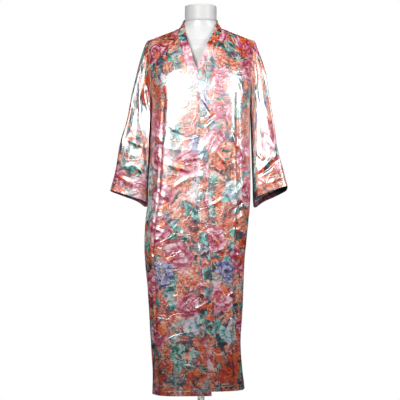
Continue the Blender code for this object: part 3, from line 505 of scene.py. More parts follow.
def bowls(x, z, crumple):
    """Bowls round scattered points: about -0.3 in their middles and up to 1 on the ridges between them."""
    spacing, warp = crumple.spacing, 0.3 * crumple.spacing
    cosine, sine = math.cos(crumple.tilt), math.sin(crumple.tilt)
    x, z = (x * cosine + z * sine) * crumple.stretch, z * cosine - x * sine
    x = x + warp * waves(x, z, crumple.seed + 1, 2.6 * spacing)
    z = z + warp * waves(x, z, crumple.seed + 2, 2.6 * spacing)
    low, high = np.array([x.min(), z.min()]), np.array([x.max(), z.max()])
    low = np.floor(low / spacing) * spacing
    cells = np.ceil((high - low) / spacing).astype(int) + 3
    at = (np.stack([x, z], axis=-1).reshape(-1, 2) - low) / spacing
    cell = np.floor(at).astype(int) + 1
    across, up = np.meshgrid(np.arange(cells[0]) - 1, np.arange(cells[1]) - 1, indexing="ij")
    corners = np.stack([across, up], axis=-1)
    jitter = scattered(corners + low / spacing, crumple.seed)
    seeds = corners + jitter[..., :2]
    weights = 0.7 * jitter[..., 2] - 0.35
    nearest = np.full(len(at), 9.0)
    for right in (-1, 0, 1):
        for above in (-1, 0, 1):
            i = np.clip(cell[:, 0] + right, 0, cells[0] - 1)
            j = np.clip(cell[:, 1] + above, 0, cells[1] - 1)
            nearest = np.minimum(nearest, ((at - seeds[i, j]) ** 2).sum(axis=1) + weights[i, j])
    return np.clip(nearest, -0.35, 1.2).reshape(x.shape)


def crumple_height(x, z):
    """The small crumples, at a length round the piece and a height."""
    total = 0
    for crumple in CRUMPLES:
        shown = smooth_step(-1.1, 1.1, waves(x, z, crumple.seed + 5, crumple.patch))
        total = total + crumple.depth * (0.3 + 0.9 * shown) * (bowls(x, z, crumple) - 0.15)
    return total


def joined_crumples(s, z, away, share):
    """Crumples that pass into others, which lie some way away along s, where share falls from 1 to 0."""
    s, z = np.broadcast_arrays(s, z)
    return crumple_height(s, z) * share + crumple_height(s + away, z) * (1 - share)


def crease_height(x, z, creases):
    """The listed creases: soft ridges and troughs that taper to both ends."""
    total = np.zeros(np.shape(x))
    for number, row in enumerate(creases):
        crease = Crease(*(value / 1000 for value in row))
        along = np.array([crease.x1 - crease.x0, crease.z1 - crease.z0])
        length = np.linalg.norm(along)
        along = along / length
        from_x, from_z = x - crease.x0, z - crease.z0
        share = (from_x * along[0] + from_z * along[1]) / length
        across = from_z * along[0] - from_x * along[1] + 0.0022 * np.sin(share * 5 + number * 1.7)
        taper = smooth_step(-0.18, 0.35, share) * (1 - smooth_step(0.65, 1.18, share))
        total = total + crease.depth * taper * bell(across, crease.width)
    return total


def body_patch(rows, angles, face, panel):
    """Points of the body with creases and crumples, which fade at shoulders and armholes, and normals."""
    points, normals = (make(rows, angles, face, panel) for make in (body_point, body_normal))
    x, z = points[..., 0], points[..., 2]
    facing = np.abs(normals[..., 1])
    wrap = 2 * np.pi * GIRTH_RADIUS
    s = np.radians(girth_of(face, angles) % 360) * GIRTH_RADIUS
    seamless = smooth_step(0, WRAP_SEAM, s) * (1 - smooth_step(wrap - WRAP_SEAM, wrap, s))
    height = joined_crumples(s, z, BODY_OTHERS, seamless)
    height = height * (1 - (1 - CALM_CHEST) * smooth_step(*CALM_HIGH, z))
    height = height * (1 - smooth_step(*CALM_SHOULDERS, z))
    height = height * (CALM_SIDES + (1 - CALM_SIDES) * smooth_step(0.1, 0.7, facing))
    creases = crease_height(x, z, FRONT_CREASES if face == FRONT else BACK_CREASES)
    shown = smooth_step(0.25, 0.6, facing) * (1 - smooth_step(*CREASES_END, z))
    height = height + creases * shown * (0.5 + 0.5 * smooth_step(*CREASES_SOFTER, z))
    armhole = smooth_step(*ARMHOLE_STILL, z) * (1 - smooth_step(*ARMHOLE_REACH, ARMHOLE_X - np.abs(x)))
    return points + normals * (height * (1 - armhole))[..., None], normals


def grid_quads(rows, columns, wraps=False):
    """The corners of each cell of a grid, as indices of its points taken row by row."""
    low = np.arange(rows - 1)[:, None] * columns
    column = np.arange(columns if wraps else columns - 1)[None, :]
    beside = (column + 1) % columns
    quads = np.stack([low + column, low + beside, low + columns + beside, low + columns + column], axis=-1)
    return quads.reshape(-1, 4)


def corner_uvs(across, along, shift=(0, 0)):
    """Flat coordinates at each corner of each cell. They have one more column than a grid that wraps."""
    uvs = np.stack(np.broadcast_arrays(across, along), axis=-1) + np.array(shift)
    return np.stack([uvs[:-1, :-1], uvs[:-1, 1:], uvs[1:, 1:], uvs[1:, :-1]], axis=2).reshape(-1, 4, 2)


def vertex_normals(points, quads):
    """Normals of a mesh's points, from its faces."""
    a, b, c, d = (points[quads[:, i]] for i in range(4))
    face = np.cross(c - a, d - b)
    normals = np.zeros_like(points)
    for i in range(4):
        np.add.at(normals, quads[:, i], face)
    return unit(normals)


# A grid of a cloth piece: points, rough outward directions, 0 for each point and axis along which the wall
# isn't thickened, so that it stays on its side of a seam, and at the cells' corners the cloth's own flat
# coordinates (cut) and the distance from a sewn edge with the length along it (rim).
Grid = namedtuple("Grid", "points outward still cut rim")


def cloth_piece(name, grids, thickness, proud=0, wraps=False):
    """A cloth wall from grids that share points where they meet: outer and inner skins and a rim."""
    parts, start = [], 0
    for grid in grids:
        quads = grid_quads(*grid.points.shape[:2], wraps)
        points, outward, still = (values.reshape(-1, 3) for values in grid[:3])
        way = 1 if (vertex_normals(points, quads) * outward).sum() >= 0 else -1
        parts.append((points, still, quads[:, ::way] + start, grid.cut[:, ::way], grid.rim[:, ::way]))
        start += len(points)
    points, still, quads, cut, rim = (np.concatenate(part) for part in zip(*parts))
    thickness = np.broadcast_to(np.reshape(thickness, (-1, 1)), (len(points), 1))
    _, first, index = np.unique(np.round(points, 7), axis=0, return_index=True, return_inverse=True)
    points, still, thickness, quads = points[first], still[first], thickness[first], index.reshape(-1)[quads]
    normals = unit(vertex_normals(points, quads) * still)
    skins = np.concatenate([points + normals * proud, points + normals * (proud - thickness)])
    count = len(points)

    def edges_of(values):
        """Values at both ends of each face's edges."""
        return np.concatenate([values[:, [i, (i + 1) % 4]] for i in range(4)])

    begin, end = edges_of(quads).T
    open_edge = ~np.isin(begin * count + end, end * count + begin)

    def on_all(values):
        """Values at the corners of both skins' faces and the rim's."""
        return np.concatenate([values, values[:, ::-1], edges_of(values)[open_edge][:, [1, 0, 0, 1]]])

    faces = on_all(quads)
    inner = np.arange(len(faces)) // len(quads) == 1
    faces[inner] += count
    faces[2 * len(quads) :, 2:] += count
    made = mesh_object(name, skins, faces)
    made.data.polygons.foreach_set("material_index", inner.astype(int))
    for map_name, values in (("cut", cut), ("rim", rim)):
        layer = made.data.uv_layers.new(name=map_name)
        layer.data.foreach_set("uv", on_all(values).reshape(-1).astype(np.float32))
    return made


def mesh_object(name, points, faces):
    """A smooth-shaded object from points and faces."""
    mesh = bpy.data.meshes.new(name)
    mesh.from_pydata(points.tolist(), [], faces.tolist() if hasattr(faces, "tolist") else faces)
    made = bpy.data.objects.new(name, mesh)
    bpy.context.scene.collection.objects.link(made)
    mesh.shade_smooth()
    mesh.set_sharp_from_angle(angle=math.radians(SHARP_ANGLE))
    return made


def panel_grid(rows, outer, inner, columns, face, panel):
    """A grid of a body panel, between two angles in each row and evenly spaced along the cloth."""
    fan = np.linspace(-90, 90, 241)
    arcs = lengths_along(body_point(rows[:, None], fan, face, panel))
    arcs = arcs - arcs[:, [len(fan) // 2]]
    angles, lengths = [], []
    for ends, arc in zip(np.stack([outer, inner], axis=1), arcs):
        low, high = np.interp(ends, fan, arc)
        length = low + (high - low) * np.linspace(0, 1, columns + 1)
        angle = np.interp(length, arc, fan)
        angle[[0, -1]] = ends
        angles.append(angle)
        lengths.append(length)
    points, normals = body_patch(rows[:, None], np.array(angles), face, panel)
    still = np.ones(points.shape)
    still[np.abs(points[..., 1]) < SEAM, 1] = 0  # at the side seams and the shoulder line
    paths = path_lengths(points)
    cut = corner_uvs(np.array(lengths), paths, PRINT_AT[panel])
    return Grid(points, normals, still, cut, corner_uvs(paths, np.array(lengths)))


def front(side):
    """A front panel, from the side seam and armhole to the neckband's seam."""
    panel = sided("front", side)
    rows = rows_evenly(FRONT, FRONT_ROWS, (UNDERARM,))
    edges = side * armhole_angle(rows), front_seam_angle(side, rows)
    return cloth_piece(panel, [panel_grid(rows, *edges, FRONT_COLUMNS, FRONT, panel)], CLOTH)


def back():
    """The back, two half grids that share the middle column below the neckline."""
    rows = rows_evenly(BACK, BACK_ROWS, (UNDERARM, BACK_NECK_ROW))
    grids = []
    for side in (LEFT, RIGHT):
        inner = side * angle_at(rows, section_at(rows).centre_x + back_neck_x(rows))
        edges = side * armhole_angle(rows), np.where(rows <= BACK_NECK_ROW, 0.0, inner)
        grids.append(panel_grid(rows, *edges, BACK_COLUMNS, BACK, "back"))
    return cloth_piece("back", grids, CLOTH)


def armhole_ring(side):
    """The loop where a sleeve starts: from the shoulder line down the front, and up the back."""
    fine = np.linspace(UNDERARM, SHOULDER, 600)
    angles = side * armhole_angle(fine)
    ring = []
    front_edge = body_point(fine, angles, FRONT, sided("front", side))[::-1]
    for edge in (front_edge, body_point(fine, angles, BACK, "back")):
        path = lengths_along(edge)
        at = np.linspace(0, path[-1], SLEEVE_COLUMNS // 2 + 1)[:-1]
        ring.append(np.stack([np.interp(at, path, edge[:, axis]) for axis in range(3)], axis=1))
    return np.concatenate(ring) + np.array([side * SEAM, 0, 0])


def sleeve_ends(side):
    """Both end rings of a sleeve, and where each point lies round them, from 0 to 1."""
    start = armhole_ring(side)
    path = lengths_along(closed(start))
    turns = path[:-1] / path[-1]
    sleeve = SLEEVES[side]
    turn = 2 * np.pi * turns[:, None]
    out, forward = (signed_power(way, 2 / CUFF_ROUNDNESS) for way in (np.cos(turn), np.sin(turn)))
    end = out * np.array(sleeve.outer) + forward * np.array(sleeve.front) + np.array(sleeve.middle)
    end[:, 2] -= sleeve.droop * bell(turns - sleeve.droop_turn, DROOP_WIDTH)
    return start, end, turns


def radial_of(points):
    """Directions away from the middle of each ring."""
    return unit(points - points.mean(axis=1, keepdims=True))


def sleeve_points(side, alongs):
    """Points of a sleeve: a row of the grid for each place along, given for each column."""
    start, end, turns = sleeve_ends(side)
    sleeve = SLEEVES[side]
    alongs = alongs[..., None]
    points = start + (end - start) * alongs
    places, left, right = zip(*BULGES)
    bulge = np.interp(alongs, places, left if side == LEFT else right)
    outer_share = np.cos(2 * np.pi * turns)[:, None]
    points = points + bulge * unit(np.array(sleeve.outer)) * ((1 + outer_share) / 2)
    from_line = np.minimum(turns % 0.5, 0.5 - turns % 0.5) / SLEEVE_CORNER
    squared = np.sin(np.minimum(from_line, 1) * np.pi / 2) ** 0.6
    face = np.where(turns < 0.5, FRONT, BACK)[:, None]
    depth = SLEEVE_DEPTH * (1 + sleeve.deepens * (alongs - 0.4))
    flat = (face * depth + sleeve.lean * outer_share) * squared[:, None]
    flattened = smooth_step(*SLEEVE_FLAT[0], alongs) * (1 - smooth_step(*SLEEVE_FLAT[1], alongs))
    points = points + (flat - points[..., 1:2]) * flattened * np.array([0.0, 1.0, 0.0])
    radial = radial_of(points)
    for at in SLEEVE_FOLD_TURNS:
        fold = SLEEVE_FOLD * bell((turns - at + 0.5) % 1 - 0.5, SLEEVE_FOLD_WIDTH)[:, None]
        points = points - radial * smooth_step(0.05, 0.3, alongs) * fold
    return points, turns


def sleeve_creased(points, turns, alongs, side):
    """A sleeve's points with its creases and crumples."""
    radial = radial_of(points)
    x, z = points[..., 0], points[..., 2]
    away_from_line = smooth_step(0, SLEEVE_SEAM, turns) * (1 - smooth_step(1 - SLEEVE_SEAM, 1, turns))
    height = joined_crumples(turns * SLEEVE_GIRTH + CRUMPLES_FROM[side], z, SLEEVE_OTHERS, away_from_line)
    height = height * (0.3 + 0.7 * smooth_step(0.45, 0.75, alongs))
    facing = radial[..., 1]
    for face in (FRONT, BACK):
        on_face = smooth_step(0.15, 0.45, np.abs(facing)) * (np.sign(facing) == face)
        height = height + crease_height(x, z, SLEEVE_CREASES[face]) * on_face
    return points + radial * (height * smooth_step(0.0, 0.06, alongs))[..., None]


def sleeve_piece(side, name, alongs, thickness, proud=0):
    """A stretch of a sleeve as a cloth wall."""
    base, turns = sleeve_points(side, alongs)
    points = sleeve_creased(base, turns, alongs, side)
    paths = lengths_along(base.swapaxes(0, 1)).mean(axis=0)[:, None]
    lengths = lengths_along(closed(base))
    lengths = lengths - lengths[:, -1:] / 2
    still = np.ones(points.shape)
    if proud == 0:
        still[0, :, 0] = 0
    cut = corner_uvs(lengths, -paths, PRINT_AT[name])
    rim = corner_uvs(UNSTITCHED + paths[-1] - paths, lengths)
    return cloth_piece(name, [Grid(points, radial_of(points), still, cut, rim)], thickness, proud, wraps=True)


def sleeve_and_cuff(side):
    """A sleeve from the armhole to its cuff band, and the band sewn to its end."""
    start, end, _ = sleeve_ends(side)
    length = np.linalg.norm(end - start, axis=1)
    ends, gap = 1 - CUFF_BAND / length, CUFF_SEAM / length
    whole = np.linspace(0, 1, SLEEVE_ROWS)[:, None] * ends
    last = (ends + gap) + np.linspace(0, 1, CUFF_ROWS)[:, None] * (1 - ends - gap)
    return (
        sleeve_piece(side, sided("sleeve", side), whole, CLOTH),
        sleeve_piece(side, sided("cuff_band", side), last, BAND, BAND_PROUD),
    )


def neckband_front(side, shares):
    """Half the neckband in front: it lies on the body's own surface, and stands beside the neck."""
    panel = sided("front", side)
    rows = rows_evenly(FRONT, FRONT_ROWS)
    seam_angle = front_seam_angle(side, rows)
    seam_z = body_point(rows, seam_angle, FRONT, panel)[:, 2]
    closing = closing_at(side, seam_z)
    edge_row = body_row_at(side, closing.edge_x, closing.edge_z + seam_z - closing.seam_z)
    edge_angle = angle_at(edge_row, closing.edge_x)
    grid_rows = rows[:, None] + (edge_row - rows)[:, None] * shares
    grid_angles = seam_angle[:, None] + (edge_angle - seam_angle)[:, None] * shares
    points, _ = body_patch(grid_rows, grid_angles, FRONT, panel)
    upright = np.stack([closing.edge_x, closing.edge_y, closing.edge_z], axis=1)[:, None]
    standing = points[:, :1] + (upright - points[:, :1]) * shares[..., None]
    return points + (standing - points) * closing.stands[:, None, None]


def neckband_behind(side, shares):
    """The rest of half the neckband, from the shoulder to the middle of the back."""
    rows = rows_evenly(BACK, 1200)
    rows = rows[rows > BACK_NECK_ROW][::-1]
    rows = np.interp(np.linspace(0, len(rows) - 1, BEHIND_ROWS)[1:], np.arange(len(rows)), rows)
    neck_x = np.maximum(back_neck_x(rows), SEAM / 2)
    seam = body_point(rows, angle_at(rows, side * neck_x), BACK, "back")
    turn = np.arccos(np.clip(neck_x / NECK_SEAM_X, 0, 1))
    edge_x = np.maximum(NECK_EDGE_X * np.cos(turn), SEAM / 2)
    edge_y = NECK_EDGE_Y + NECK_EDGE_BACK * np.sin(turn)
    edge = np.stack([side * edge_x, edge_y, np.full_like(edge_x, NECK_EDGE_Z)], 1)
    return seam[:, None] + (edge - seam)[:, None] * shares[..., None]


def neckband(side):
    """Half of the neckband, from the hem to the middle of the back."""
    name = sided("neckband", side)
    shares = np.linspace(0, 1, BAND_COLUMNS + 1)[None, :]
    points = np.concatenate([neckband_front(side, shares), neckband_behind(side, shares)])
    across = points[:, -1:] - points[:, :1]
    width = np.linalg.norm(across, axis=-1)
    points = points + unit(across) * SEAM * (1 - shares[..., None])
    outward = points - np.array([0.0, 0.02, 0.0])
    outward[..., 2] = 0
    paths = path_lengths(points)
    lengths = shares * width
    thin_from, thin_over, thinnest = BAND_ROUND
    edge_round = np.sqrt(np.clip(1 - np.clip((shares - thin_from) / thin_over, 0, 1) ** 2, thinnest, 1))
    thickness = BAND * np.broadcast_to(edge_round, points.shape[:2])
    cut = corner_uvs(side * lengths, paths, PRINT_AT[name])
    rim = corner_uvs(UNSTITCHED + width - lengths, paths)
    return cloth_piece(name, [Grid(points, outward, np.ones(points.shape), cut, rim)], thickness, BAND_PROUD)


def ring_points(height, half_width, front_depth, back_depth, centre_y, roundness, sides):
    """A level ring of the dress form."""
    turn = np.linspace(0, 2 * np.pi, sides, endpoint=False)
    across, deep = (signed_power(way, 2 / roundness) for way in (np.cos(turn), np.sin(turn)))
    y = centre_y + np.where(np.sin(turn) < 0, front_depth, back_depth) * deep
    return np.stack([half_width * across, y, np.full(sides, height)], axis=1)


def lofted(name, rings):
    """A closed solid through rings of equal count, capped at both ends."""
    sides = len(rings[0])
    points = np.concatenate(rings)
    faces = grid_quads(len(rings), sides, wraps=True).tolist()
    faces.append(list(range(sides))[::-1])
    faces.append([len(points) - sides + i for i in range(sides)])
    return mesh_object(name, points, faces)


def dress_form():
    """The torso, on a smooth curve through its sections."""
    columns = np.array(FORM)
    padded = np.concatenate([2 * columns[:1] - columns[1:2], columns, 2 * columns[-1:] - columns[-2:-1]])
    rings = []
    for index in range(len(FORM) - 1):
        for part in np.linspace(0, 1, 5, endpoint=False):
            rings.append(ring_points(*through(padded, index, part), TORSO_SIDES))
    rings.append(ring_points(*FORM[-1], TORSO_SIDES))
    return lofted("torso_shell", rings)


def neck_block():
    """The neck, a separate block on the torso, with a soft top edge."""
    low = FORM[-1].height + NECK_JOINT
    profile = [(NECK_RADIUS - NECK_CHAMFER, low), (NECK_RADIUS, low + NECK_CHAMFER)]
    profile += [(NECK_RADIUS, height) for height in np.linspace(low + 0.01, NECK_TOP - 0.01, 5)]
    for turn in np.linspace(0, math.pi / 2, 7):
        radius = NECK_RADIUS - NECK_ROUND * (1 - math.cos(turn))
        profile.append((radius, NECK_TOP - NECK_ROUND * (1 - math.sin(turn))))
    return lofted(
        "neck_block",
        [ring_points(height, radius, radius, radius, NECK_Y, 2, NECK_SIDES) for radius, height in profile],
    )


class Flow:
    """A socket of a node tree. Arithmetic on it adds Math nodes."""

    def __init__(self, tree, socket):
        self.tree = tree
        self.socket = socket

    def math(self, operation, *others):
        return add_node(self.tree, "Math", (self, *others), operation=operation)[0]

    def vector(self, operation, *others, output=0):
        return add_node(self.tree, "VectorMath", (self, *others), operation=operation)[output]

    __add__ = partialmethod(math, "ADD")
    __sub__ = partialmethod(math, "SUBTRACT")
    __mul__ = partialmethod(math, "MULTIPLY")
    __truediv__ = partialmethod(math, "DIVIDE")
    below = partialmethod(math, "LESS_THAN")
    above = partialmethod(math, "GREATER_THAN")
    absolute = partialmethod(math, "ABSOLUTE")
    moved = partialmethod(vector, "ADD")
    away_from = partialmethod(vector, "SUBTRACT")
    scaled = partialmethod(vector, "MULTIPLY")
    length = partialmethod(vector, "LENGTH", output=1)

    def eased(self, low, high, start=0.0, end=1.0):
        """start below low, end above high, and a soft turn between."""
        inputs = (self, low, high, start, end)
        return add_node(self.tree, "MapRange", inputs, interpolation_type="SMOOTHSTEP")[0]

    def parts(self):
        return add_node(self.tree, "SeparateXYZ", (self,))

    def noise(self, scale, detail=2.0, roughness=0.5, output=0, dimensions="2D"):
        inputs = {"Vector": self, "Scale": scale, "Detail": detail, "Roughness": roughness}
        return add_node(self.tree, "TexNoise", inputs, noise_dimensions=dimensions)[output]

    def cells(self, size, randomness=1.0, dimensions="2D", feature="F1"):
        """Voronoi cells of about one size: distance, random colour and middle."""
        inputs = {"Vector": self, "Scale": 1 / size, "Randomness": randomness}
        return add_node(self.tree, "TexVoronoi", inputs, voronoi_dimensions=dimensions, feature=feature)[:3]

    def cell_edges(self, *sizes, **settings):
        """The distance to the edge between such cells."""
        return self.cells(*sizes, feature="DISTANCE_TO_EDGE", **settings)[0]


def feed(node, inputs):
    """Links or sets a node's sockets. inputs maps a socket's name or number to what it takes."""
    for key, value in inputs.items() if isinstance(inputs, dict) else enumerate(inputs):
        if isinstance(value, Flow):
            value.tree.links.new(value.socket, node.inputs[key])
        else:
            node.inputs[key].default_value = value


def add_node(tree, kind, inputs=(), **settings):
    """Adds a node and returns its outputs as flows."""
    made = tree.nodes.new("ShaderNode" + kind)
    for name, value in settings.items():
        setattr(made, name, value)
    feed(made, inputs)
    return [Flow(tree, output) for output in made.outputs]


def mixed(share, under, over, mode="MIX"):
    """One colour over another by a share. A colour is a flow or three numbers."""
    tree = next(value.tree for value in (share, under, over) if isinstance(value, Flow))
    colours = [(*c, 1.0) if isinstance(c, tuple) else c for c in (under, over)]
    inputs = {0: share, 6: colours[0], 7: colours[1]}
    return add_node(tree, "Mix", inputs, data_type="RGBA", blend_type=mode)[2]


def layered(colour, *coats):
    """A colour with others over it, each with its share."""
    for share, over in coats:
        colour = mixed(share, colour, over)
    return colour


def ramp(value, stops):
    """A colour ramp, from (place, colour) pairs."""
    made = value.tree.nodes.new("ShaderNodeValToRGB")
    elements = made.color_ramp.elements
    while len(elements) < len(stops):
        elements.new(0.5)
    for element, (place, colour) in zip(elements, stops):
        element.position = place
        element.color = (*colour, 1)
    feed(made, (value,))
    return Flow(value.tree, made.outputs[0])


def bumped(height, strength):
    """Normals of a surface with small heights, in metres."""
    return add_node(height.tree, "Bump", {"Height": height, "Strength": strength, "Distance": 1.0})[0]


def new_material(name):
    material = bpy.data.materials.new(name)
    material.use_nodes = True
    return material, material.node_tree, material.node_tree.nodes["Principled BSDF"]


GREY = (0.54, 0.53, 0.55)
PEACH = (0.93, 0.63, 0.51)
DUSTY_PINK = (0.88, 0.59, 0.59)
CREAM = (0.99, 0.91, 0.85)
ORANGE = (0.93, 0.34, 0.13)
LIGHT_ORANGE = (0.98, 0.55, 0.26)
RED = (0.70, 0.15, 0.11)
DEEP_RED = (0.28, 0.06, 0.05)
MAGENTA = (0.70, 0.14, 0.36)
PINK = (0.79, 0.35, 0.50)
PALE_PINK = (0.87, 0.59, 0.68)
WHITE_PINK = (0.99, 0.88, 0.92)
TEAL = (0.17, 0.47, 0.47)
MINT = (0.44, 0.76, 0.74)
PALE_MINT = (0.68, 0.89, 0.87)
LILAC = (0.34, 0.36, 0.58)
PALE_LILAC = (0.60, 0.62, 0.80)
LILAC_WHITE = (0.84, 0.84, 0.94)
NAVY = (0.06, 0.08, 0.20)
DARK_GREEN = (0.05, 0.17, 0.16)
DUSKY_ROSE = (0.53, 0.17, 0.28)
UMBER = (0.30, 0.15, 0.10)

BLOSSOM_SPACING = 0.118
ROSE_SHARE = 0.52
POPPY_SHARE = 0.74
LILAC_SHARE = 0.82
MINT_SHARE = 0.95  # the rest of the blossoms' places are bare

# The blossoms made of petals: a petal's size, its two tones, its light and its dark, and the kinds' shares
BLOOMS = (
    (0.017, LILAC, PALE_LILAC, LILAC_WHITE, NAVY, POPPY_SHARE, LILAC_SHARE),
    (0.021, PALE_MINT, WHITE_PINK, LILAC_WHITE, TEAL, LILAC_SHARE, MINT_SHARE),
    (0.034, ORANGE, RED, LIGHT_ORANGE, DEEP_RED, ROSE_SHARE, POPPY_SHARE),
)

# Leaves, from the largest to the smallest: how far apart, half sizes, how many places hold one, how dark
Leaves = namedtuple("Leaves", "spacing length width share dark")
LEAVES = [
    Leaves(0.068, 0.041, 0.0205, 0.85, 0.0),
    Leaves(0.047, 0.029, 0.0125, 0.55, 0.2),
    Leaves(0.036, 0.019, 0.0050, 0.34, 0.8),
]

WARM = (1.0, 0.985, 0.965)  # the whole print's tint
FULL_TURN = 6.283


def warped(at, *layers):
    """Coordinates bent by noise, so that a pattern looks drawn by hand. A layer is (scale, detail, reach)."""
    bent = at
    for scale, detail, reach in layers:
        push = at.noise(scale, detail, 0.55, output=1).away_from((0.5, 0.5, 0.5))
        bent = bent.moved(push.scaled((reach, reach, 0.0)))
    return bent


def line_work(at, mottle):
    """Orange strokes over peach scales, which swirl."""
    swirled = warped(at, (6.0, 1.0, 0.16), (60.0, 2.0, 0.006)).scaled((1.0, 1.9, 1.0))
    edge = swirled.cell_edges(0.0115)
    red, green, _ = swirled.cells(0.0115)[1].parts()
    fill = layered(
        mixed(red, PEACH, DUSTY_PINK),
        (green.eased(0.25, 0.80) * 0.85, CREAM),
        (at.noise(13.0, 2.0).eased(0.54, 0.66) * 0.7, UMBER),
    )
    stroke = layered(
        mixed(mottle.eased(0.44, 0.62), ORANGE, RED),
        (at.noise(17.0).eased(0.52, 0.66), MAGENTA),
        (green.eased(0.0, 0.4, 0.8, 0.0), LIGHT_ORANGE),
        (red.eased(0.8, 0.9) * 0.8, UMBER),
    )
    width = at.noise(30.0, 1.0) * 0.38 - 0.01
    return mixed((width - edge).eased(0.0, 0.09), fill, stroke)


def leaf_layer(at, leaves, under):
    """Lens-shaped leaves with a midrib, veins and one half lighter than the other."""
    _, random, middle = at.cells(leaves.spacing, 0.95)
    red, green, blue = random.parts()
    x, y, _ = at.away_from(middle).parts()
    turn = blue * FULL_TURN
    cosine, sine = turn.math("COSINE"), turn.math("SINE")
    along = (x * cosine + y * sine) / leaves.length
    across = (y * cosine - x * sine) / leaves.width
    across = across + along * along * 0.55 - 0.2
    bound = (along * along * -1.0 + 1.0) * (along * 0.35 + 0.95)
    ragged = at.noise(95.0, 2.0, 0.6) * 0.7 - 0.35
    mask = (bound - across.absolute() + ragged).eased(0.0, 0.22) * red.below(leaves.share)
    slant = (along * 9.0 - across.absolute() * 4.0 + green * 6.0).math("SINE")
    tone = layered(
        mixed(green.eased(0.1, 0.8), TEAL, MINT),
        (across.eased(-0.25, 0.25) * 0.7, MINT),
        ((along + green - 0.5).eased(0.0, 0.9) * 0.6, PALE_MINT),
        (at.noise(60.0, 3.0, 0.6).eased(0.48, 0.62) * 0.65, PALE_MINT),
        (at.noise(30.0, 2.0).eased(0.53, 0.64) * 0.7, PALE_LILAC),
        (at.noise(48.0, 2.0).eased(0.36, 0.48, 0.75, 0.0), DARK_GREEN),
        (slant.eased(0.55, 0.95) * 0.5, DARK_GREEN),
        (across.absolute().eased(0.02, 0.12, 0.6, 0.0), DARK_GREEN),
        (leaves.dark, mixed(red.above(leaves.share * 0.5), NAVY, DARK_GREEN)),
    )
    return mixed(mask, under, tone)


def blossom_places(at):
    """The scattered places of the blossoms: the kind, size and spin of the nearest, and the way from it."""
    _, random, middle = at.cells(BLOSSOM_SPACING, 0.78)
    kind, size, spin = random.parts()
    away = at.away_from(middle)
    return kind, size * 0.016 + 0.044, spin * FULL_TURN, away, away.length()


def petal_bloom(at, bloom, under):
    """Flowers with outlines of whole petals: each petal's middle says which flower it belongs to."""
    petal, base, second, light, dark, least, most = bloom
    _, random, middle = at.cells(petal, 0.9)
    kind, size, _, away, radius = blossom_places(middle)
    mask = (size * 0.86 - radius).above(0.0) * kind.above(least) * kind.below(most)
    red, green, _ = random.parts()
    outward = at.away_from(middle).vector("DOT_PRODUCT", away.vector("NORMALIZE"), output=1) / petal
    streaks = warped(at, (40.0, 1.0, 0.02)).scaled((1.0, 3.0, 1.0)).noise(60.0, 2.0)
    tone = layered(
        mixed(red, base, second),
        (green.eased(0.5, 1.0) * 0.8, light),
        (outward.eased(0.0, 0.55) * 0.8, light),
        (outward.eased(-0.55, -0.1, 0.8, 0.0), dark),
        (streaks.eased(0.55, 0.7) * 0.5, light),
        (at.cell_edges(petal, 0.9).eased(0.0, 0.07, 0.55, 0.0), dark),
        (at.away_from(middle.away_from(away)).length().eased(0.006, 0.014, 0.85, 0.0), dark),
    )
    return mixed(mask, under, tone)


def roses(at, under):
    """Roses: petals in rings that widen outwards from a dark heart."""
    kind, size, spin, away, radius = blossom_places(at)
    share = radius / size
    x, y, _ = away.vector("NORMALIZE").parts()
    depth = (share + 0.07).math("LOGARITHM", 2.718) * 1.3 + spin * 3.0
    around = add_node(at.tree, "CombineXYZ", (x * 0.95 + spin, y * 0.95, depth))[0]
    _, random, seat = around.cells(1.0, 0.95, dimensions="3D")
    edge = around.cell_edges(1.0, 0.95, dimensions="3D")
    red, green, blue = random.parts()
    outer = depth - seat.parts()[2]
    brush = around.scaled((3.0, 3.0, 1.2)).noise(2.2, 2.0, dimensions="3D")
    tone = layered(
        ramp(share, [(0.0, RED), (0.17, MAGENTA), (0.38, PINK), (0.72, PALE_PINK)]),
        (red.eased(0.4, 0.9) * 0.8, PALE_PINK),
        (green.eased(0.7, 0.9) * 0.5, MAGENTA),
        (outer.eased(-0.15, 0.32) * 0.95, WHITE_PINK),
        (outer.eased(-0.50, -0.05, 0.7, 0.0), DUSKY_ROSE),
        (blue.above(0.90) * 0.7, LIGHT_ORANGE),
        (edge.eased(0.0, 0.09, 0.8, 0.0), DUSKY_ROSE),
        (brush.eased(0.56, 0.72) * 0.7, WHITE_PINK),
    )
    lobes = around.scaled((1.3, 1.3, 0.0)).noise(1.6, 1.0, dimensions="3D")
    mask = (lobes * 0.7 + 0.62 - share).eased(0.0, 0.05) * kind.below(ROSE_SHARE)
    return mixed(mask, under, tone)


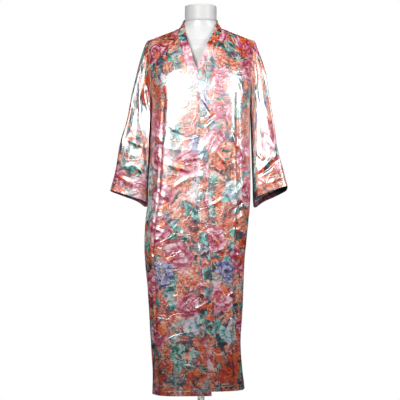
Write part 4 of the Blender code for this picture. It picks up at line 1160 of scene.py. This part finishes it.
def print_colour(tree):
    """The printed flowers, leaves and line work, from the cloth's own flat coordinates in metres."""
    at = add_node(tree, "UVMap", uv_map="cut")[0]
    drawn = warped(at, (15.0, 1.0, 0.030), (70.0, 2.0, 0.009))
    mottle = at.noise(38.0, 3.0, 0.6)
    ground = mixed(mottle.eased(0.35, 0.7), tuple(0.86 * c for c in GREY), tuple(1.3 * c for c in GREY))
    colour = mixed(at.noise(5.5, 1.0).eased(0.33, 0.36), ground, line_work(at, mottle))
    leafy = mixed(drawn.noise(19.0, 2.0).eased(0.50, 0.56) * 0.85, colour, NAVY)
    for leaves in LEAVES[:2]:
        leafy = leaf_layer(drawn, leaves, leafy)
    sprays = drawn.moved((7.3, 2.9, 0.0)).noise(8.5, 1.0)
    colour = mixed(sprays.eased(0.445, 0.47), colour, leafy)
    for bloom in BLOOMS:
        colour = petal_bloom(drawn, bloom, colour)
    colour = leaf_layer(drawn, LEAVES[2], colour)
    contours = (drawn.noise(21.0, 2.0, 0.55) * 6.5).math("PINGPONG", 0.5).eased(0.06, 0.12, 1.0, 0.0)
    drawn_over = at.moved((3.1, 8.7, 0.0)).noise(10.0, 1.0).eased(0.44, 0.52)
    colour = roses(drawn, mixed(contours * drawn_over * 0.85, colour, CREAM))

    # Brush marks: light and dark strokes all over, and dark and light washes between the flowers
    strokes = drawn.scaled((1.0, 2.2, 1.0)).noise(75.0, 3.0, 0.62)
    wash = drawn.noise(24.0, 2.0, 0.55)
    colour = layered(
        colour,
        (strokes.eased(0.55, 0.68) * 0.35, (0.95, 0.88, 0.84)),
        (strokes.eased(0.34, 0.46, 0.50, 0.0), (0.06, 0.03, 0.04)),
        (wash.eased(0.50, 0.72) * 0.35, (1.0, 0.96, 0.95)),
    )
    colour = mixed(wash.eased(0.32, 0.52, 0.60, 0.0), colour, colour, "MULTIPLY")
    colour = mixed(1.0, colour, WARM, "MULTIPLY")
    vivid = add_node(tree, "HueSaturation", {"Saturation": 1.62, "Value": 0.88, "Color": colour})[0]
    return at, add_node(tree, "Gamma", {"Color": vivid, "Gamma": 1.8})[0]


# The sharp creases too small for the mesh: lines between cells, which show in patches
CreaseLines = namedtuple("CreaseLines", "spacing flatter width height patches")
CREASE_LINES = [
    CreaseLines(0.078, 1.00, 0.0028, 0.00036, 7.0),
    CreaseLines(0.036, 0.70, 0.0026, 0.00040, 11.0),
    CreaseLines(0.021, 0.80, 0.0020, 0.00026, 13.0),
]
CRINKLE = 0.00016  # depth of the finest unevenness
THREADS = 0.00004  # and of the threads
STITCH_FROM_EDGE = 0.019  # how far the row of stitches is from a hem
STITCHES = 2200.0  # how they follow each other along it
STITCH_SINK = 0.0008

SATIN_IOR = 2.0
SATIN_GLAZE = 0.25  # share of the sharper shine over the broad one
SATIN_STRETCH = 0.60  # how far the shine spreads across the floating threads, which run up and down


def satin(name, reverse=False):
    """Printed satin: glossy on its face, dull and faded on its reverse, whose print is also darkened as
    painted shade.
    """
    material, tree, shader = new_material(name)
    at, colour = print_colour(tree)
    if reverse:
        # Painted shade: the reverse, seen only inside the sleeves and the robe, is darkened most of the way
        # to near black.
        colour = mixed(0.72, colour, (0.035, 0.020, 0.040))
    crinkle = at.noise(95.0, 3.0, 0.55)
    thread = at.scaled((1.0, 0.25, 1.0)).noise(1500.0, 1.0)
    height = crinkle * CRINKLE + thread * THREADS
    for spacing, flatter, width, deep, patches in CREASE_LINES:
        bent = warped(at, (0.4 / spacing, 1.0, 0.9 * spacing), (2.2 / spacing, 1.0, 0.2 * spacing))
        edge = bent.scaled((1.0, flatter, 1.0)).cell_edges(spacing, 0.9)
        shown = at.noise(patches, 1.0).eased(0.44, 0.62)
        height = height + edge.eased(0.0, width / spacing, 1.0, 0.0) * shown * deep
    from_edge, along, _ = add_node(tree, "UVMap", uv_map="rim")[0].parts()
    sewn = (from_edge - STITCH_FROM_EDGE).absolute().eased(0.0006, 0.0022, 1.0, 0.0)
    pulled = (along * STITCHES).math("SINE") * 0.15 + 0.85
    height = height - sewn * pulled * STITCH_SINK
    # The colour is darkened along the sunk row of stitches: painted shade of its groove.
    feed(shader, {
        "Base Color": mixed(sewn * 0.35, colour, (0.05, 0.03, 0.03)),
        "Roughness": crinkle.eased(0.3, 0.7, *((0.5, 0.6) if reverse else (0.29, 0.35))),
        "Normal": bumped(height, 0.7),
        "Specular IOR Level": 0.35 if reverse else 1.0,
    })
    if not reverse:
        feed(shader, {
            "Tangent": add_node(tree, "Tangent", direction_type="UV_MAP", uv_map="cut")[0],
            "Anisotropic": SATIN_STRETCH,
            "IOR": SATIN_IOR,
            "Coat Weight": SATIN_GLAZE,
            "Coat Roughness": 0.18,
        })
    return material


def gloss_white(name, tone, shine):
    """The form's gloss paint, with a faint unevenness."""
    material, tree, shader = new_material(name)
    place = add_node(tree, "TexCoord")[3]
    uneven = place.noise(5.0, 1.0, dimensions="3D")
    light = (tone + 0.02, tone + 0.015, tone + 0.01)
    feed(shader, {
        "Base Color": mixed(uneven.eased(0.3, 0.7), (tone, tone, tone), light),
        "Roughness": uneven.eased(0.3, 0.7, 0.34, 0.40),
        "Normal": bumped(place.noise(40.0, 1.0, dimensions="3D") * 0.0001, 0.3),
        "Specular IOR Level": shine,
    })
    return material


def stand_paint():
    """The pole and the base: satin white powder coat."""
    material, tree, shader = new_material("stand_paint")
    place = add_node(tree, "TexCoord")[3]
    grain = place.noise(700.0, 2.0, dimensions="3D")
    dust = place.noise(14.0, 3.0, dimensions="3D")
    feed(shader, {
        "Base Color": mixed(dust.eased(0.35, 0.7), (0.74, 0.74, 0.74), (0.82, 0.82, 0.82)),
        "Roughness": dust.eased(0.3, 0.7, 0.34, 0.46),
        "Normal": bumped(grain * 0.0002, 0.4),
    })
    return material


def coat(piece, *materials):
    """Gives a piece its materials, in the order in which its faces count them."""
    for material in materials:
        piece.data.materials.append(material)


def area_light(name, place, aim, size, power, spread=180):
    """A soft box that doesn't show itself, aimed at a point. spread is its beam's full angle in degrees."""
    data = bpy.data.lights.new(name, "AREA")
    data.shape = "RECTANGLE"
    data.size, data.size_y = size
    data.energy = power
    data.spread = math.radians(spread)
    made = bpy.data.objects.new(name, data)
    made.location = place
    made.visible_camera = False
    made.rotation_euler = (Vector(aim) - Vector(place)).to_track_quat("-Z", "Y").to_euler()
    bpy.context.scene.collection.objects.link(made)
    return made


CAMERA_DISTANCE = 4.2
CAMERA_HEIGHT = 0.875
CAMERA_X = -0.0036
PICTURE_WIDTH = 1.448  # what the picture takes in at the robe, side to side
SENSOR = 36.0
FLOOR_RADIUS = 0.85
BEAM = 33  # full angle of the front soft boxes' beams, which light the chest more than the hem
WORLD_SOFT = 0.065  # how bright the surroundings are for soft light; the camera sees them at 1
WORLD_GLOSS = 0.04  # and in reflections


def studio():
    """Camera, lights, white surroundings and a pale round floor."""
    scene = bpy.context.scene
    data = bpy.data.cameras.new("camera")
    data.sensor_width = SENSOR
    data.lens = SENSOR * CAMERA_DISTANCE / PICTURE_WIDTH
    camera = bpy.data.objects.new("camera", data)
    camera.location = (CAMERA_X, -CAMERA_DISTANCE, CAMERA_HEIGHT)
    camera.rotation_euler = (math.pi / 2, 0, 0)
    scene.collection.objects.link(camera)
    scene.camera = camera

    area_light("key_left", (-1.15, -2.7, 1.95), (0.0, 0, 1.32), (1.7, 1.9), 10.0, BEAM)
    area_light("top", (0.0, -1.1, 3.1), (0.0, 0.02, 1.40), (1.8, 1.2), 2.4, 30)
    area_light("key_right", (2.3, -1.8, 1.95), (0.10, 0, 1.34), (1.3, 1.7), 4.9, BEAM)
    for_stand = area_light("fill_low", (0.0, -2.6, 0.25), (0, 0, 0.12), (0.5, 0.2), 0.16, 8)
    stand = bpy.data.collections.new("stand")
    for node in ("stand_pole", "stand_base"):
        stand.objects.link(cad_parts[node])
    for_stand.light_linking.receiver_collection = stand
    area_light("fill_back", (0.6, 3.6, 2.4), (0, 0, 0.9), (2.6, 1.8), 75)

    world = bpy.data.worlds.new("studio")
    scene.world = world
    world.use_nodes = True
    paths = add_node(world.node_tree, "LightPath")
    strength = paths[0] * (1.0 - WORLD_SOFT) + WORLD_SOFT - paths[3] * (WORLD_SOFT - WORLD_GLOSS)
    feed(world.node_tree.nodes["Background"], ((1, 1, 1, 1), strength))

    rim = ring_points(0, FLOOR_RADIUS, FLOOR_RADIUS, FLOOR_RADIUS, 0, 2, FLOOR_SIDES)
    floor = mesh_object("floor", rim, [list(range(FLOOR_SIDES))])
    material, _, shader = new_material("floor")
    feed(shader, {"Base Color": (0.86, 0.86, 0.86, 1), "Roughness": 0.7})
    coat(floor, material)

    scene.view_settings.view_transform = "Standard"
    scene.view_settings.look = "None"
    scene.view_settings.exposure = 0
    scene.view_settings.gamma = 1


# Each piece as it is cut, before sewing: width and length of its pattern, its area, what it hangs on.
Cut = namedtuple("Cut", "flat area rests_on")


def take_place(piece, node):
    """Puts a piece on the part's one body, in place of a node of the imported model."""
    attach(piece, "root")
    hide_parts(node)


def main():
    cloth = satin("satin_face"), satin("satin_reverse", reverse=True)
    sheets = {"back": back()}
    for side in (LEFT, RIGHT):
        sheets[sided("front", side)] = front(side)
        sheets[sided("sleeve", side)], sheets[sided("cuff_band", side)] = sleeve_and_cuff(side)
        sheets[sided("neckband", side)] = neckband(side)
    for name, piece in sheets.items():
        coat(piece, *cloth)
        piece.name = "cloth_" + name
        take_place(piece, name)

    torso, neck = dress_form(), neck_block()
    # Torso and neck are the same paint: the torso's lighter tone and the neck's darker one are painted light
    # and shade.
    coat(torso, gloss_white("torso_gloss", 0.54, 0.5))
    coat(neck, gloss_white("neck_gloss", 0.52, 0.2))
    take_place(torso, "form_torso")
    take_place(neck, "form_neck")

    paint = stand_paint()
    for node in ("stand_pole", "stand_base"):
        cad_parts[node].data.materials.clear()
        coat(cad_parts[node], paint)
    studio()


main()
